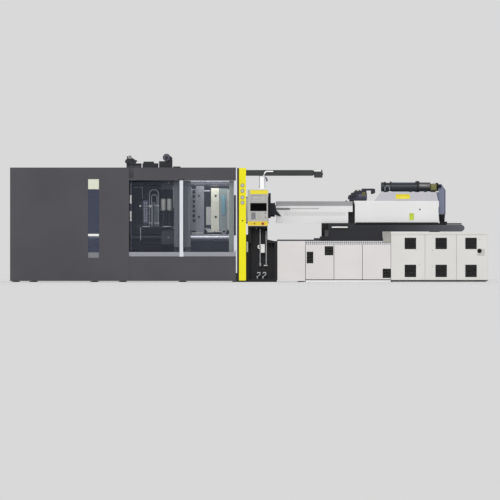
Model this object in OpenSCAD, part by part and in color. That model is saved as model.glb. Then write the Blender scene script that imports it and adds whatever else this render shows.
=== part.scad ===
// Injection moulding machine with a two-platen hydraulic clamp and a mould mounted.
// X runs along the machine with the injection unit at +X, -Y is the operator's side and Z = 0 is the floor.
// The origin lies under the middle of the machine.

/* [Layout along the machine] */
// Length of the closed cover behind the gates
clamp_cover_l = 2380; // [2340:10:2600]
// Length of the opening between that cover and the pillar
gate_l = 2140; // [2120:10:2300]
// Length of the pillar beside the fixed platen
pillar_l = 200; // [180:5:240]
// Length of the water services block
services_l = 620; // [600:10:700]
// Length of one service bay
bay_l = 570; // [560:5:640]
// Number of bays with a vented cover
bay_n = 3; // [3:1:4]
// Length of the electrical cabinet
cabinet_l = 1940; // [1900:10:2100]

/* [Guards] */
// Width over the guards
guard_w = 2100; // [2100:10:2300]
// Height of the guards' top edge
guard_h = 2290; // [2290:5:2400]
// Gap between the guards and the floor
guard_lift = 20; // [15:1:30]
// Thickness of the guard sheet
sheet = 4; // [3:0.5:6]
// Depth of the covers' folded edges
cover_fold = 36; // [30:1:40]
// How far the gate side lies behind the clamp cover
gate_recess = 15; // [12:1:18]
// Height of the header over the gate
header_h = 256; // [250:1:280]
// Height of the sill's top edge
sill_top = 514; // [500:1:520]
// Height of the guide track's outer lip
track_h = 86; // [80:1:90]
// Length of the roof cover
roof_l = 3430; // [3400:10:3600]
// Width of the window in the clamp cover
port_w = 220; // [180:5:260]
// Height of the window in the clamp cover
port_h = 1580; // [1400:10:1620]
// Distance from the window to the gate side
port_x = 600; // [560:10:700]
// Length of the sliding gate
leaf_l = 1130; // [1100:5:1160]
// Travel of the sliding gate
gate_travel = 1000; // [900:10:1000]
// Width of the gate's upright post
post_w = 80; // [70:1:90]
// Depth of the pillars
pillar_d = 145; // [140:1:160]

/* [Clamp unit] */
// Height of the machine axis
axis_z = 1440; // [1430:1:1450]
// Distance between tie bar centres
tie_pitch = 1100; // [1080:5:1110]
// Diameter of the tie bars
tie_d = 140; // [130:1:142]
// Length of the tie bars
tie_l = 3310; // [3200:10:3400]
// Width and height of the platens
platen_w = 1600; // [1590:5:1620]
// Thickness of the fixed platen
fixed_t = 320; // [300:5:340]
// Thickness of the moving platen
moving_t = 330; // [300:5:350]
// Pitch of the grooves in the tie bars
groove_pitch = 20; // [18:1:22]
// Depth of the grooves
groove_d = 6; // [5:0.5:7]
// Groove pitches that the platen closes by
close_steps = 7; // [6:1:8]
// Stroke of the moving platen to the open end
open_stroke = 1100; // [900:20:1150]
// Opening travel of a lock nut half
nut_travel = 30; // [30:1:34]
// Diameter of the ejector rod
ejector_d = 50; // [40:1:60]
// Stroke of the ejector
ejector_stroke = 110; // [80:5:120]
// Bolt pitch of the platen faces
bolt_pitch = 210; // [200:5:215]
// Diameter of the platens' tapped holes
bolt_d = 21; // [17:0.5:24]
// Diameter of the locating ring
ring_d = 200; // [160:5:220]
// Height of the clamp bed
bed_h = 560; // [540:5:570]
// Width of a bed beam
beam_w = 280; // [260:5:300]

/* [Mould] */
// Width of the mould
mould_w = 680; // [600:10:700]
// Height of the mould
mould_h = 936; // [900:4:940]
// Thickness of the moving half
mould_moving_t = 270; // [260:5:300]
// Thickness of the fixed half
mould_fixed_t = 360; // [340:5:380]
// Height of the core that stands out of the fixed half
core_h = 362; // [300:2:380]
// How far the core stands out
core_out = 100; // [80:5:105]
// Diameter of the mould's leader pins
leader_d = 40; // [32:1:48]

/* [Injection unit] */
// Height of the injection bed
inj_bed_h = 820; // [800:5:830]
// Width of the injection bed
inj_bed_w = 700; // [680:10:720]
// Distance from the machine's middle plane to the service covers' face
service_y = 900; // [880:5:920]
// Height of the feet under the beds
foot_h = 40; // [36:1:50]
// Stroke of the injection carriage
carriage_stroke = 450; // [300:10:460]
// Length of the carriage's deep front part
deep_l = 1224; // [1180:10:1260]
// Length of the carriage's long beams
carriage_l = 2866; // [2840:10:2900]
// Height of the carriage deck
deck_z = 1180; // [1175:1:1190]
// Diameter of the screw
screw_d = 90; // [80:1:100]
// Outer diameter of the barrel
barrel_d = 200; // [190:1:204]
// Length of the screw's flight
flight_l = 2250; // [2150:10:2280]
// Stroke of the screw
injection_stroke = 350; // [250:10:360]
// Length of the barrel cover
barrel_cover_l = 1536; // [1500:4:1540]
// Length of the drive housing
drive_l = 1674; // [1600:6:1680]
// Height of the drive housing
drive_h = 442; // [430:1:450]
// Height of the hood on the drive housing
hood_h = 178; // [160:1:190]

/* [Electrical cabinet] */
// Height of the cabinet with its top slab
cabinet_h = 1000; // [985:1:1004]
// Thickness of the top slab
slab_t = 50; // [40:1:60]
// Width of the first door
door_1_w = 682; // [640:2:700]
// Depth of the doors
door_t = 25; // [20:1:30]
// Gap between doors
door_gap = 6; // [5:0.5:8]
// Diameter of the door pins
door_pin_d = 8; // [6:0.5:9]

/* [Operator panel] */
// Width of the panel
panel_w = 408; // [390:2:420]
// Height of the panel
panel_h = 722; // [700:2:730]
// Depth of the panel
panel_d = 140; // [120:2:144]
// Length of the cable boom
boom_l = 1340; // [1200:10:1400]
// Height of the cable boom's underside
boom_z = 2124; // [2110:1:2130]
// Diameter of the emergency stop's cap
stop_d = 44; // [40:1:50]

/* [Fits] */
// Radial clearance of a running fit
fit = 0.1; // [0.05:0.01:0.1]
// Gap between pieces that pass each other
gap = 0.5; // [0.3:0.1:1]

/* [Hidden] */
$fn = 48;

// Places along the machine, from the left end.
machine_l = clamp_cover_l + gate_l + pillar_l + services_l + (bay_n + 1) * bay_l + cabinet_l;
x_left = -machine_l / 2;
x_gate = x_left + clamp_cover_l;
x_pillar = x_gate + gate_l;
x_split = x_pillar + pillar_l;
x_plain = x_split + services_l;
x_bays = x_plain + bay_l;
x_cab = x_bays + bay_n * bay_l;
x_right = x_cab + cabinet_l;

// Guard planes, as distances from the middle plane.
y_guard = guard_w / 2;
y_inner = y_guard - sheet;
y_fold = y_guard - cover_fold;
y_recess = y_guard - gate_recess;
y_sill = y_recess - sheet;
header_z = guard_h - header_h;
post_t = gate_recess - 2 - gap;
leaf_t = 25;
leaf_y = y_sill - 29;
leaf_gap = 5;
track_lip = 24;
leaf_x1 = x_pillar - leaf_gap;
leaf_x0 = leaf_x1 - leaf_l;
leaf_z0 = sill_top + 20 + gap;
leaf_z1 = header_z + 41;
rail_z = leaf_z1 + leaf_gap;

// Platens and tie bars.
platen_set = 20;
x_back = x_split - platen_set;
x_face = x_back - fixed_t;
mould_gap = close_steps * groove_pitch + gap;
x_part = x_face - mould_fixed_t;
x_front = x_part - mould_gap - mould_moving_t;
x_rear = x_front - moving_t;
tie_y = tie_pitch / 2;
nut_seat = 70;
nut_d = 210;
platen_z0 = axis_z - platen_w / 2;
// The roof lies on the guards, and never lower than this above the platens.
roof_gap = 50;
roof_z = max(guard_h, axis_z + platen_w / 2 + roof_gap);
beam_y1 = platen_w / 2;
beam_y0 = beam_y1 - beam_w;
way_t = 30;
way_y = beam_y1 - beam_w / 2;
way_w = 120;
bolt_y = 2 * bolt_pitch;
bolt_z = 540;
side_hole_d = 40;
side_hole_z = 211;

// Lock nuts: nine grooves long, seen from the platen's rear face.
nut_l = 9 * groove_pitch;
nut_x1 = x_rear - 20;
nut_x0 = nut_x1 - nut_l;
nut_r = tie_d / 2 + 80;
nut_h = 108;
house_wall = 28;
house_l = 20 + nut_l + 10 + 40;
house_y = nut_r + nut_travel + 25 + house_wall;
lock_rod_d = 30;

// Ejector and traverse cylinders.
ejector_bore = ejector_d + 70;
ejector_l = ejector_stroke + 220;
trav_y = 350;
trav_z = 715;
trav_bore = 80;
trav_rod = 50;
trav_stroke = open_stroke + close_steps * groove_pitch;
trav_x1 = x_rear - open_stroke - 400;
trav_x0 = trav_x1 - trav_stroke - 180;

// Service side.
inj_y = inj_bed_w / 2;
cover_d = 20;
y_cover = service_y - cover_d;

// Injection unit.
rail_y = inj_y - 50;
rail_h = 60;
rail_w = 70;
x_rail = x_bays + 170;
x_car = x_bays + 324;
side_y = inj_y + 30;
side_t = 40;
side_z0 = inj_bed_h + 6;
beam_z0 = max(cabinet_h, inj_bed_h + 180) + 10;
feed_x0 = x_car + 536;
feed_l = 132;
feed_x1 = feed_x0 + feed_l;
drive_x0 = feed_x1;
drive_x1 = drive_x0 + drive_l;
drive_y = 330;
drive_top = deck_z + drive_h;
hood_y = 300;
nozzle_x = x_face + 32;
head_x = x_face + 130;
barrel_x1 = feed_x1;
bore_r = screw_d / 2 + fit;
shaft_d = screw_d - 36;
thrust_x = drive_x0 + 358;
thrust_l = 160;
bcover_x1 = feed_x0 + 86;
bcover_x0 = bcover_x1 - barrel_cover_l;
bcover_y = 330;

// Cabinet.
door_w = (cabinet_l - door_1_w) / 2;
door_x = [x_cab, x_cab + door_1_w, x_cab + door_1_w + door_w];
door_ws = [door_1_w, door_w, door_w];
door_in = 8;
door_z0 = guard_lift + 20;
door_z1 = cabinet_h - slab_t - 4;
door_back = 3;
switch_x = x_right - 168;
switch_z = 622;

// Operator panel.
panel_x = x_split + 32 + panel_w / 2;
panel_z = 1124;
panel_y = y_guard - 1;
post_x = x_split + 323;
swivel_d = 60;
boom_y = panel_y - panel_d / 2;
boom_h = 116;
boom_w = 110;

// A box from ranges along X, Y and Z.
module block(x, y, z) {
    translate([x[0], y[0], z[0]])
        cube([x[1] - x[0], y[1] - y[0], z[1] - z[0]]);
}

// Round bars along each axis, from a range and a centre.
module bar_x(x, y, z, d) {
    translate([x[0], y, z])
        rotate([0, 90, 0])
            cylinder(d = d, h = x[1] - x[0]);
}

module bar_y(y, x, z, d) {
    translate([x, y[0], z])
        rotate([-90, 0, 0])
            cylinder(d = d, h = y[1] - y[0]);
}

module bar_z(z, x, y, d) {
    translate([x, y, z[0]])
        cylinder(d = d, h = z[1] - z[0]);
}

// Outlines pushed along X (points are [y, z]) or along Y (points are [x, z]).
module prism_x(x, pts) {
    translate([x[0], 0, 0])
        rotate([90, 0, 90])
            linear_extrude(x[1] - x[0])
                polygon(pts);
}

module prism_y(y, pts) {
    translate([0, y[1], 0])
        rotate([90, 0, 0])
            linear_extrude(y[1] - y[0])
                polygon(pts);
}

// A profile of [radius, x] turned about an axis along X.
module turned_x(y, z, pts) {
    translate([0, y, z])
        rotate([0, 90, 0])
            rotate_extrude()
                polygon(pts);
}

module both_sides() {
    children();
    mirror([0, 1, 0])
        children();
}

// A folded sheet: a tray whose skin lies at y0 and whose edges reach y1.
module tray(x, y0, y1, z) {
    s = y1 > y0 ? sheet : -sheet;
    difference() {
        block(x, [min(y0, y1), max(y0, y1)], z);
        block([x[0] + sheet, x[1] - sheet], [min(y0 + s, y1 + s), max(y0 + s, y1 + s)],
            [z[0] + sheet, z[1] - sheet]);
    }
}

// Rows of slots through a wall, to be cut from it.
module slots_z(x, y, z, n, web) {
    pitch = (z[1] - z[0] + web) / n;
    for (i = [0:n - 1])
        block(x, y, [z[0] + i * pitch, z[0] + (i + 1) * pitch - web]);
}

module slots_x(x, y, z, n, web) {
    pitch = (x[1] - x[0] + web) / n;
    for (i = [0:n - 1])
        block([x[0] + i * pitch, x[0] + (i + 1) * pitch - web], y, z);
}

// Places of the four tie bars.
module at_tie_bars() {
    for (y = [-tie_y, tie_y], z = [axis_z - tie_y, axis_z + tie_y])
        translate([0, y, z])
            children();
}

/* Clamp bed: two outward C beams with slide ways, cross members and outriggers to the guards. */
bed_stations = [x_left + 100, trav_x0 + 100, trav_x1 - 100, x_gate - 130];
rigger_z = [foot_h + 40, foot_h + 160];

module outrigger(x, reach) {
    block([x - 60, x + 60], [beam_y0 + 20, reach], rigger_z);
}

module clamp_bed() {
    color("dimgray") {
        both_sides() {
            prism_x([x_left + sheet, x_split], [[beam_y0, foot_h], [beam_y1, foot_h], [beam_y1, foot_h + 40],
                [beam_y0 + 30, foot_h + 40], [beam_y0 + 30, bed_h - 40], [beam_y1, bed_h - 40],
                [beam_y1, bed_h], [beam_y0, bed_h]]);
            block([x_rear - open_stroke - 60, x_face - 20], [way_y - way_w / 2, way_y + way_w / 2],
                [bed_h, bed_h + way_t]);
            for (x = bed_stations)
                outrigger(x, y_inner);
            for (x = [x_gate + 300, x_gate + gate_l / 2, x_pillar - 200])
                outrigger(x, y_sill);
            outrigger(x_split - pillar_l / 2, y_guard - 5 - pillar_d);
        }
        for (x = bed_stations)
            block([x - 60, x + 60], [-beam_y0 - 10, beam_y0 + 10], rigger_z);
        block([x_split - 160, x_split], [-beam_y0 - 10, beam_y0 + 10], rigger_z);
    }
}

/* Levelling pads under both beds: a foot plate and a spindle each. */
module pad(x, y) {
    translate([x, y, 0])
        rotate_extrude()
            polygon([[0, 0], [80, 0], [80, 12], [30, 20], [30, foot_h], [0, foot_h]]);
}

module levelling_pads() {
    color("gray") {
        for (x = concat(bed_stations, [x_gate + gate_l / 2, x_pillar]), y = [-1, 1])
            pad(x, y * (beam_y1 - 90));
        for (x = bed_posts, y = [-1, 1])
            pad(x + 20, y * (inj_y - 80));
        for (i = [1:bay_n])
            pad(x_plain + i * bay_l, -y_cover + 80);
    }
}

/* Platens: square castings with cut corners, tie bar bores, tapped holes and a bore on the axis. */
function platen_outline(c) = [for (p = [[-1, 1, c, 0], [-1, 1, 0, -c], [-1, -1, 0, c], [-1, -1, c, 0],
    [1, -1, -c, 0], [1, -1, 0, c], [1, 1, 0, -c], [1, 1, -c, 0]])
    [p[0] * platen_w / 2 + p[2], axis_z + p[1] * platen_w / 2 + p[3]]];

bolt_places = concat([for (s = [-1, 1], k = [-2:2]) [s * bolt_y, k * bolt_pitch]],
    [for (s = [-1, 1], k = [-1:1]) [k * bolt_pitch, s * bolt_z]]);

module bolt_holes(x) {
    for (p = bolt_places)
        bar_x(x, p[0], axis_z + p[1], bolt_d);
}

module fixed_platen() {
    color("silver")
        difference() {
            union() {
                prism_x([x_face, x_back], platen_outline(60));
                both_sides()
                    block([x_face, x_back], [beam_y0, beam_y1], [bed_h, platen_z0 + 80]);
            }
            at_tie_bars() {
                bar_x([x_face - 1, x_back + 1], 0, 0, tie_d + 1);
                bar_x([x_back - nut_seat, x_back + 1], 0, 0, nut_d + 20);
            }
            bolt_holes([x_face - 1, x_face + 50]);
            bar_x([x_face - 1, x_face + 40], 0, axis_z, ring_d + 2 * fit);
            turned_x(0, axis_z, [[0, x_face + 30], [65, x_face + 30], [65, x_face + 80], [barrel_d / 2 + 25, x_face + 90],
                [barrel_d / 2 + 150, x_back + 1], [0, x_back + 1]]);
            // Pockets in the back that leave ribs around the barrel opening.
            for (s = [-1, 1]) {
                block([x_back - 120, x_back + 1], [s * 640 - 90, s * 640 + 90],
                    [axis_z - 300, axis_z + 300]);
                block([x_back - 120, x_back + 1], [-300, 300],
                    [axis_z + s * 620 - 90, axis_z + s * 620 + 90]);
            }
            // Tapped holes for a robot on the top edge.
            for (x = [x_face + 80, x_back - 80], y = [-170, 170])
                bar_z([axis_z + platen_w / 2 - 45, axis_z + platen_w / 2 + 1], x, y, 17.5);
        }
}

module platen_shoe(x) {
    block(x, [way_y - way_w / 2 + 5, way_y + way_w / 2 - 5], [bed_h + way_t + gap, platen_z0 + 20]);
}

module moving_platen() {
    color("slategray")
        difference() {
            union() {
                prism_x([x_rear, x_front], platen_outline(60));
                both_sides() {
                    platen_shoe([x_rear, x_rear + 130]);
                    platen_shoe([x_front - 130, x_front]);
                }
            }
            at_tie_bars()
                bar_x([x_rear - 1, x_front + 1], 0, 0, tie_d + 40);
            bolt_holes([x_front - 50, x_front + 1]);
            bar_x([x_front - 25, x_front + 1], 0, axis_z, 125);
            bar_x([x_rear - 1, x_front + 1], 0, axis_z, ejector_d + 2 * fit);
            // Deep pockets in the rear leave the casting's ribs.
            for (s = [-1, 1]) {
                block([x_rear - 1, x_front - 110], [s * 360 - 130, s * 360 + 130], [axis_z + 40, axis_z + 300]);
                block([x_rear - 1, x_front - 110], [s * 360 - 130, s * 360 + 130], [axis_z - 300, axis_z - 40]);
                block([x_rear - 1, x_front - 110], [-230, 230], [axis_z + s * 560 - 150, axis_z + s * 560 + 150]);
            }
            // A groove down each flank.
            both_sides()
                block([x_front - 80, x_front - 60], [platen_w / 2 - 15, platen_w / 2 + 1],
                    [platen_z0 + 70, platen_z0 + platen_w - 70]);
        }
}

/* Tie bars: plain where the mould is, grooved for the lock nuts, with a round nut in the fixed platen. */
groove_w = groove_pitch / 2;
tie_x1 = x_back - 10;
tie_x0 = tie_x1 - tie_l;

module tie_bars() {
    color("gainsboro")
        at_tie_bars()
            turned_x(0, 0, concat([[0, tie_x0], [tie_d / 2 - 8, tie_x0], [tie_d / 2, tie_x0 + 8]],
                [for (k = [-8:close_steps + 10], p = [[tie_d / 2, 0.25], [tie_d / 2 - groove_d, 0.25],
                    [tie_d / 2 - groove_d, 0.75], [tie_d / 2, 0.75]])
                    [p[0], nut_x0 + (k + p[1]) * groove_pitch]],
                [[tie_d / 2, x_back - nut_seat], [nut_d / 2, x_back - nut_seat], [nut_d / 2, tie_x1 - 6],
                    [nut_d / 2 - 6, tie_x1], [0, tie_x1]]));
}

/* Lock nuts: ringed half shells that slide shut on the grooves, in housings on the moving platen. */
module nut_bore() {
    turned_x(0, 0, concat([[0, nut_x0 - 1], [tie_d / 2 + gap, nut_x0 - 1]],
        [for (k = [0:8], p = [[tie_d / 2 + gap, 0.3], [tie_d / 2 - groove_d + gap, 0.3],
            [tie_d / 2 - groove_d + gap, 0.7], [tie_d / 2 + gap, 0.7]])
            [p[0], nut_x0 + (k + p[1]) * groove_pitch]],
        [[tie_d / 2 + gap, nut_x1 + 1], [0, nut_x1 + 1]]));
}

module lock_nut_half() {
    translate([0, -nut_travel, 0]) {
        difference() {
            prism_x([nut_x0, nut_x1], [[-nut_r, -nut_h + 30], [-nut_r + 30, -nut_h], [-gap, -nut_h], [-gap, nut_h],
                [-nut_r + 30, nut_h], [-nut_r, nut_h - 30]]);
            nut_bore();
        }
        bar_y([-house_y - 24, -nut_r + 1], (nut_x0 + nut_x1) / 2, 0, lock_rod_d);
    }
}

module lock_nuts_front() {
    color("goldenrod")
        at_tie_bars()
            lock_nut_half();
}

module lock_nuts_rear() {
    color("goldenrod")
        at_tie_bars()
            mirror([0, 1, 0])
                lock_nut_half();
}

module nut_housings() {
    x0 = x_rear - house_l;
    color("darkslategray")
        at_tie_bars()
            difference() {
                block([x0, x_rear], [-house_y, house_y], [-nut_h - gap - house_wall, nut_h + gap + house_wall]);
                block([x0 + 40, x_rear + 1], [-house_y + house_wall, house_y - house_wall],
                    [-nut_h - gap, nut_h + gap]);
                bar_x([x0 - 1, x_rear], 0, 0, tie_d + 40);
                bar_y([-house_y - 1, house_y + 1], (nut_x0 + nut_x1) / 2, 0, lock_rod_d + 2 * fit);
            }
}

/* Ejector: a flanged cylinder on the platen's rear and a rod with a piston. */
eject_tip = x_front - 5;
piston_l = 50;

module ejector_cylinder() {
    r = ejector_bore / 2;
    color("darkslategray")
        turned_x(0, axis_z, [[ejector_d / 2 + fit, x_rear], [r + 70, x_rear], [r + 70, x_rear - 40], [r + 30, x_rear - 40],
            [r + 30, x_rear - ejector_l - 30], [0, x_rear - ejector_l - 30], [0, x_rear - ejector_l],
            [r + fit, x_rear - ejector_l], [r + fit, x_rear - 45], [ejector_d / 2 + fit, x_rear - 45]]);
}

module ejector_rod() {
    x0 = x_rear - ejector_l + 20;
    color("gainsboro")
        turned_x(0, axis_z, [[0, x0], [ejector_bore / 2, x0], [ejector_bore / 2, x0 + piston_l], [ejector_d / 2, x0 + piston_l],
            [ejector_d / 2, eject_tip - 4], [ejector_d / 2 - 4, eject_tip], [0, eject_tip]]);
}

/* Traverse cylinders: low on both sides, fixed to the bed, with rods to the moving platen. */
module traverse_barrels() {
    r = trav_bore / 2;
    color("darkslategray")
        for (s = [-1, 1])
            difference() {
                union() {
                    bar_x([trav_x0, trav_x1], s * trav_y, trav_z, trav_bore + 34);
                    bar_x([trav_x1 - 90, trav_x1], s * trav_y, trav_z, trav_bore + 50);
                    for (x = [trav_x0 + 100, trav_x1 - 100])
                        prism_x([x - 20, x + 20], [[s * trav_y - 90, rigger_z[1]], [s * trav_y + 90, rigger_z[1]],
                            [s * trav_y + 50, trav_z], [s * trav_y - 50, trav_z]]);
                }
                bar_x([trav_x0 + 30, trav_x1 - 60], s * trav_y, trav_z, trav_bore + 2 * fit);
                bar_x([trav_x1 - 61, trav_x1 + 1], s * trav_y, trav_z, trav_rod + 2 * fit);
            }
}

module traverse_rods() {
    x0 = trav_x1 - 60 - close_steps * groove_pitch - 10 - piston_l;
    color("gainsboro")
        for (s = [-1, 1])
            turned_x(s * trav_y, trav_z, [[0, x0], [trav_bore / 2, x0], [trav_bore / 2, x0 + piston_l],
                [trav_rod / 2, x0 + piston_l], [trav_rod / 2, x_rear - 30], [trav_rod / 2 + 10, x_rear - 30],
                [trav_rod / 2 + 10, x_rear], [0, x_rear]]);
}

/* Hydraulics that ride behind the moving platen: tray, valve manifold, accumulators and hoses. */
tray_z = axis_z - 348;
hyd_y = -platen_w / 2 + 100;

module bottle(x, d, z0, z1) {
    translate([x, hyd_y, 0])
        rotate_extrude()
            polygon([[0, z0], [14, z0], [14, axis_z - 4], [d / 2 - 8, axis_z - 4], [d / 2, axis_z + 16], [d / 2, z1 - 40],
                [d / 2 - 14, z1 - 12], [d / 4, z1], [0, z1]]);
}

module hose_arc(x, z, r) {
    translate([x, hyd_y - 30, z])
        rotate([90, 0, 0])
            rotate_extrude(angle = 180)
                translate([r, 0])
                    circle(d = 26);
}

module platen_hydraulics() {
    top = tray_z + 20;
    color("darkslategray") {
        difference() {
            prism_x([x_rear - 740, x_rear], [[hyd_y - 90, tray_z], [hyd_y + 110, tray_z],
                [hyd_y + 110, top + 40], [hyd_y + 100, top + 40], [hyd_y + 100, top], [hyd_y - 90, top]]);
            for (i = [0:4])
                bar_z([tray_z - 1, top + 1], x_rear - 90 - i * 140, hyd_y + 10, 40);
        }
        // Manifold on its foot, with valve heads.
        block([x_rear - 620, x_rear - 520], [hyd_y - 60, hyd_y + 60], [top, axis_z + 196]);
        for (z = [axis_z + 10, axis_z + 80, axis_z + 150])
            bar_x([x_rear - 670, x_rear - 619], hyd_y, z, 44);
        // Hoses that loop from the manifold to the platen side.
        for (r = [38, 80]) {
            hose_arc(x_rear - 440, axis_z - 130, r);
            bar_z([top, axis_z - 130], x_rear - 440 + r, hyd_y - 30, 26);
        }
        bar_z([top, axis_z - 130], x_rear - 478, hyd_y - 30, 26);
        // Accumulators on the tray.
        bottle(x_rear - 214, 76, top, axis_z + 226);
        bottle(x_rear - 92, 100, top, axis_z + 226);
    }
}

/* Mould halves: stacked plates with leader pins, a core on the fixed side and its pocket opposite. */
mould_z0 = axis_z - mould_h / 2 + 16;
mould_z1 = mould_z0 + mould_h;
leader_y = mould_w / 2 - 60;
leader_z = mould_h / 2 - 90;

module at_leaders() {
    for (y = [-leader_y, leader_y], z = [-leader_z, leader_z])
        translate([0, y, axis_z + z])
            children();
}

module side_holes(x) {
    for (z = [-136, side_hole_z + 75])
        bar_y([-mould_w / 2 - 1, -mould_w / 2 + 50], x, axis_z + z, side_hole_d);
}

module mould_moving_half() {
    x1 = x_front + mould_moving_t;
    half = mould_w / 2;
    color("dimgray")
        difference() {
            union() {
                block([x_front, x_front + 22], [-half - 40, half + 40], [mould_z0 + 20, mould_z1 - 20]);
                block([x_front + 20, x_front + 106], [-half + 20, half - 20], [mould_z0 + 40, mould_z1 - 60]);
                block([x_front + 108, x1], [-half, half], [mould_z0, mould_z1]);
                block([x_front + 100, x_front + 110], [-half + 30, half - 30], [mould_z0 + 50, mould_z1 - 70]);
                at_leaders()
                    turned_x(0, 0, [[0, x1 - 10], [leader_d / 2, x1 - 10], [leader_d / 2, x1 + 110],
                        [leader_d / 2 - 6, x1 + 122], [0, x1 + 122]]);
            }
            // Spring pockets along the operator's side.
            for (i = [0:6])
                block([x_front + 36, x_front + 92], [-half - 1, -half + 60],
                    [axis_z - 246 + i * 96, axis_z - 176 + i * 96]);
            bar_x([x_front - 1, x_front + ejector_stroke + 5], 0, axis_z, ejector_d + 30);
            block([x1 - core_out - 2, x1 + 1], [-core_w / 2 - 2, core_w / 2 + 2],
                [core_z0 - 2, core_z0 + core_h + 2]);
            side_holes(x1 - 100);
        }
}

core_w = 380;
core_z0 = axis_z - 296;

module mould_fixed_half() {
    half = mould_w / 2;
    color("beige")
        difference() {
            union() {
                block([x_part, x_part + 160], [-half, half], [mould_z0 + 32, mould_z1 - 44]);
                block([x_part + 159, x_face - 30], [-half + 12, half - 12], [mould_z0 + 40, mould_z1 - 50]);
                block([x_face - 32, x_face], [-half - 40, half + 40], [mould_z0 + 60, mould_z1 - 70]);
                block([x_part - core_out, x_part + 1], [-core_w / 2, core_w / 2], [core_z0, core_z0 + core_h]);
                bar_x([x_face - 1, x_face + 30], 0, axis_z, ring_d);
            }
            at_leaders()
                bar_x([x_part - 1, x_part + 130], 0, 0, leader_d + 2 * fit);
            bar_x([x_face - 60, x_face + 31], 0, axis_z, 30);
            side_holes(x_part + 94);
        }
}

/* Clamp covers: one tall folded sheet on each side, with a window in the front one. */
port_z0 = 480;
port_x1 = x_gate - port_x;
port_x0 = port_x1 - port_w;

module clamp_cover() {
    tray([x_left, x_gate], -y_guard, -y_fold, [guard_lift, guard_h]);
}

module front_clamp_cover() {
    color("dimgray")
        difference() {
            clamp_cover();
            block([port_x0, port_x1], [-y_guard - 1, -y_inner + 1], [port_z0, port_z0 + port_h]);
        }
}

module rear_clamp_cover() {
    color("dimgray")
        mirror([0, 1, 0])
            clamp_cover();
}

module end_cover() {
    color("dimgray")
        difference() {
            block([x_left, x_left + sheet], [-y_fold, y_fold], [guard_lift, guard_h]);
            slots_z([x_left - 1, x_left + sheet + 1], [-300, 300], [300, 700], 10, 22);
        }
}

module roof_cover() {
    color("dimgray")
        difference() {
            block([x_left + sheet, x_left + sheet + roof_l], [-y_fold, y_fold], [guard_h - 40, roof_z]);
            block([x_left + 2 * sheet, x_left + roof_l], [-y_fold + sheet, y_fold - sheet], [guard_h - 41, roof_z - sheet]);
            // The end stays open below the roof's edge, where the platen runs.
            block([x_left + roof_l - 1, x_left + sheet + roof_l + 1], [-y_fold + sheet, y_fold - sheet],
                [guard_h - 41, roof_z - 40]);
        }
}

/* Hydraulics on the roof: a valve stack, a relief block and a pump motor with its pipe. */
roof_y = -760;

module roof_hydraulics() {
    z = roof_z;
    x = x_gate;
    color("dimgray") {
        // Valve stack with a stepped body and a round end.
        prism_y([roof_y - 90, roof_y + 90], [[x - 10, z], [x + 210, z], [x + 210, z + 50], [x + 250, z + 50],
            [x + 250, z + 84], [x + 140, z + 84], [x + 140, z + 130], [x + 96, z + 178], [x + 60, z + 190],
            [x + 42, z + 228], [x - 42, z + 228], [x - 42, z + 150], [x - 70, z + 150], [x - 70, z + 84],
            [x - 50, z + 84], [x - 50, z + 50], [x - 10, z + 50]]);
        bar_y([roof_y - 120, roof_y - 89], x - 40, z + 124, 84);
        // Relief block in two tiers.
        block([x + 268, x + 586], [roof_y - 100, roof_y + 100], [z, z + 86]);
        block([x + 288, x + 498], [roof_y - 70, roof_y + 70], [z + 85, z + 120]);
        // Pump block with its motor.
        block([x + 600, x + 860], [roof_y - 110, roof_y + 110], [z, z + 128]);
        bar_y([roof_y - 150, roof_y + 190], x + 750, z + 201, 150);
        bar_y([roof_y - 180, roof_y - 149], x + 750, z + 201, 60);
        // Pipe from the motor down to the roof.
        translate([x + 806, roof_y, z + 170])
            rotate([90, 0, 0])
                rotate_extrude(angle = 90)
                    translate([40, 0])
                        circle(d = 44);
        bar_z([z, z + 170], x + 846, roof_y, 44);
        bar_x([x + 786, x + 806], roof_y, z + 210, 44);
        // Low terminal strip beyond the pump.
        block([x + 880, x + 1030], [roof_y - 60, roof_y + 60], [z, z + 22]);
    }
}

/* Panes: in the clamp covers' windows, and beside the gates. */
module beside_gate() {
    block([x_gate, leaf_x0 + 60], [-leaf_y + leaf_t + 9, -leaf_y + leaf_t + 15], [sill_top + 46, header_z + 26]);
}

module fixed_windows() {
    color("lightblue") {
        block([port_x0 - 12, port_x1 + 12], [-y_inner, -y_inner + 6], [port_z0 - 12, port_z0 + port_h + 12]);
        beside_gate();
    }
}

/* Header and sill sheets around each gate, and the plain sheet beside the rear one. */
module gate_surround() {
    color("dimgray")
        mirror([0, 1, 0])
            beside_gate();
    color("dimgray")
        both_sides() {
            difference() {
                block([x_gate, x_pillar], [-y_recess, -y_fold], [header_z, guard_h]);
                block([x_gate - 1, x_pillar + 1], [-y_sill, -y_fold + 1], [header_z - 1, guard_h - sheet]);
            }
            prism_x([x_gate, x_pillar], [[-y_sill, header_z + 30], [-y_sill + track_lip, header_z + 30],
                [-y_sill + track_lip, rail_z], [-leaf_y + leaf_t + leaf_gap, rail_z],
                [-leaf_y + leaf_t + leaf_gap, header_z + 26], [-leaf_y + leaf_t + 18, header_z + 26],
                [-leaf_y + leaf_t + 18, rail_z + 20], [-y_sill, rail_z + 20]]);
            prism_x([x_gate, x_pillar], [[-y_recess, guard_lift], [-y_sill, guard_lift], [-y_sill, sill_top - sheet],
                [-leaf_y + leaf_t + 18, sill_top - sheet], [-leaf_y + leaf_t + 18, sill_top], [-y_recess, sill_top]]);
        }
}

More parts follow.
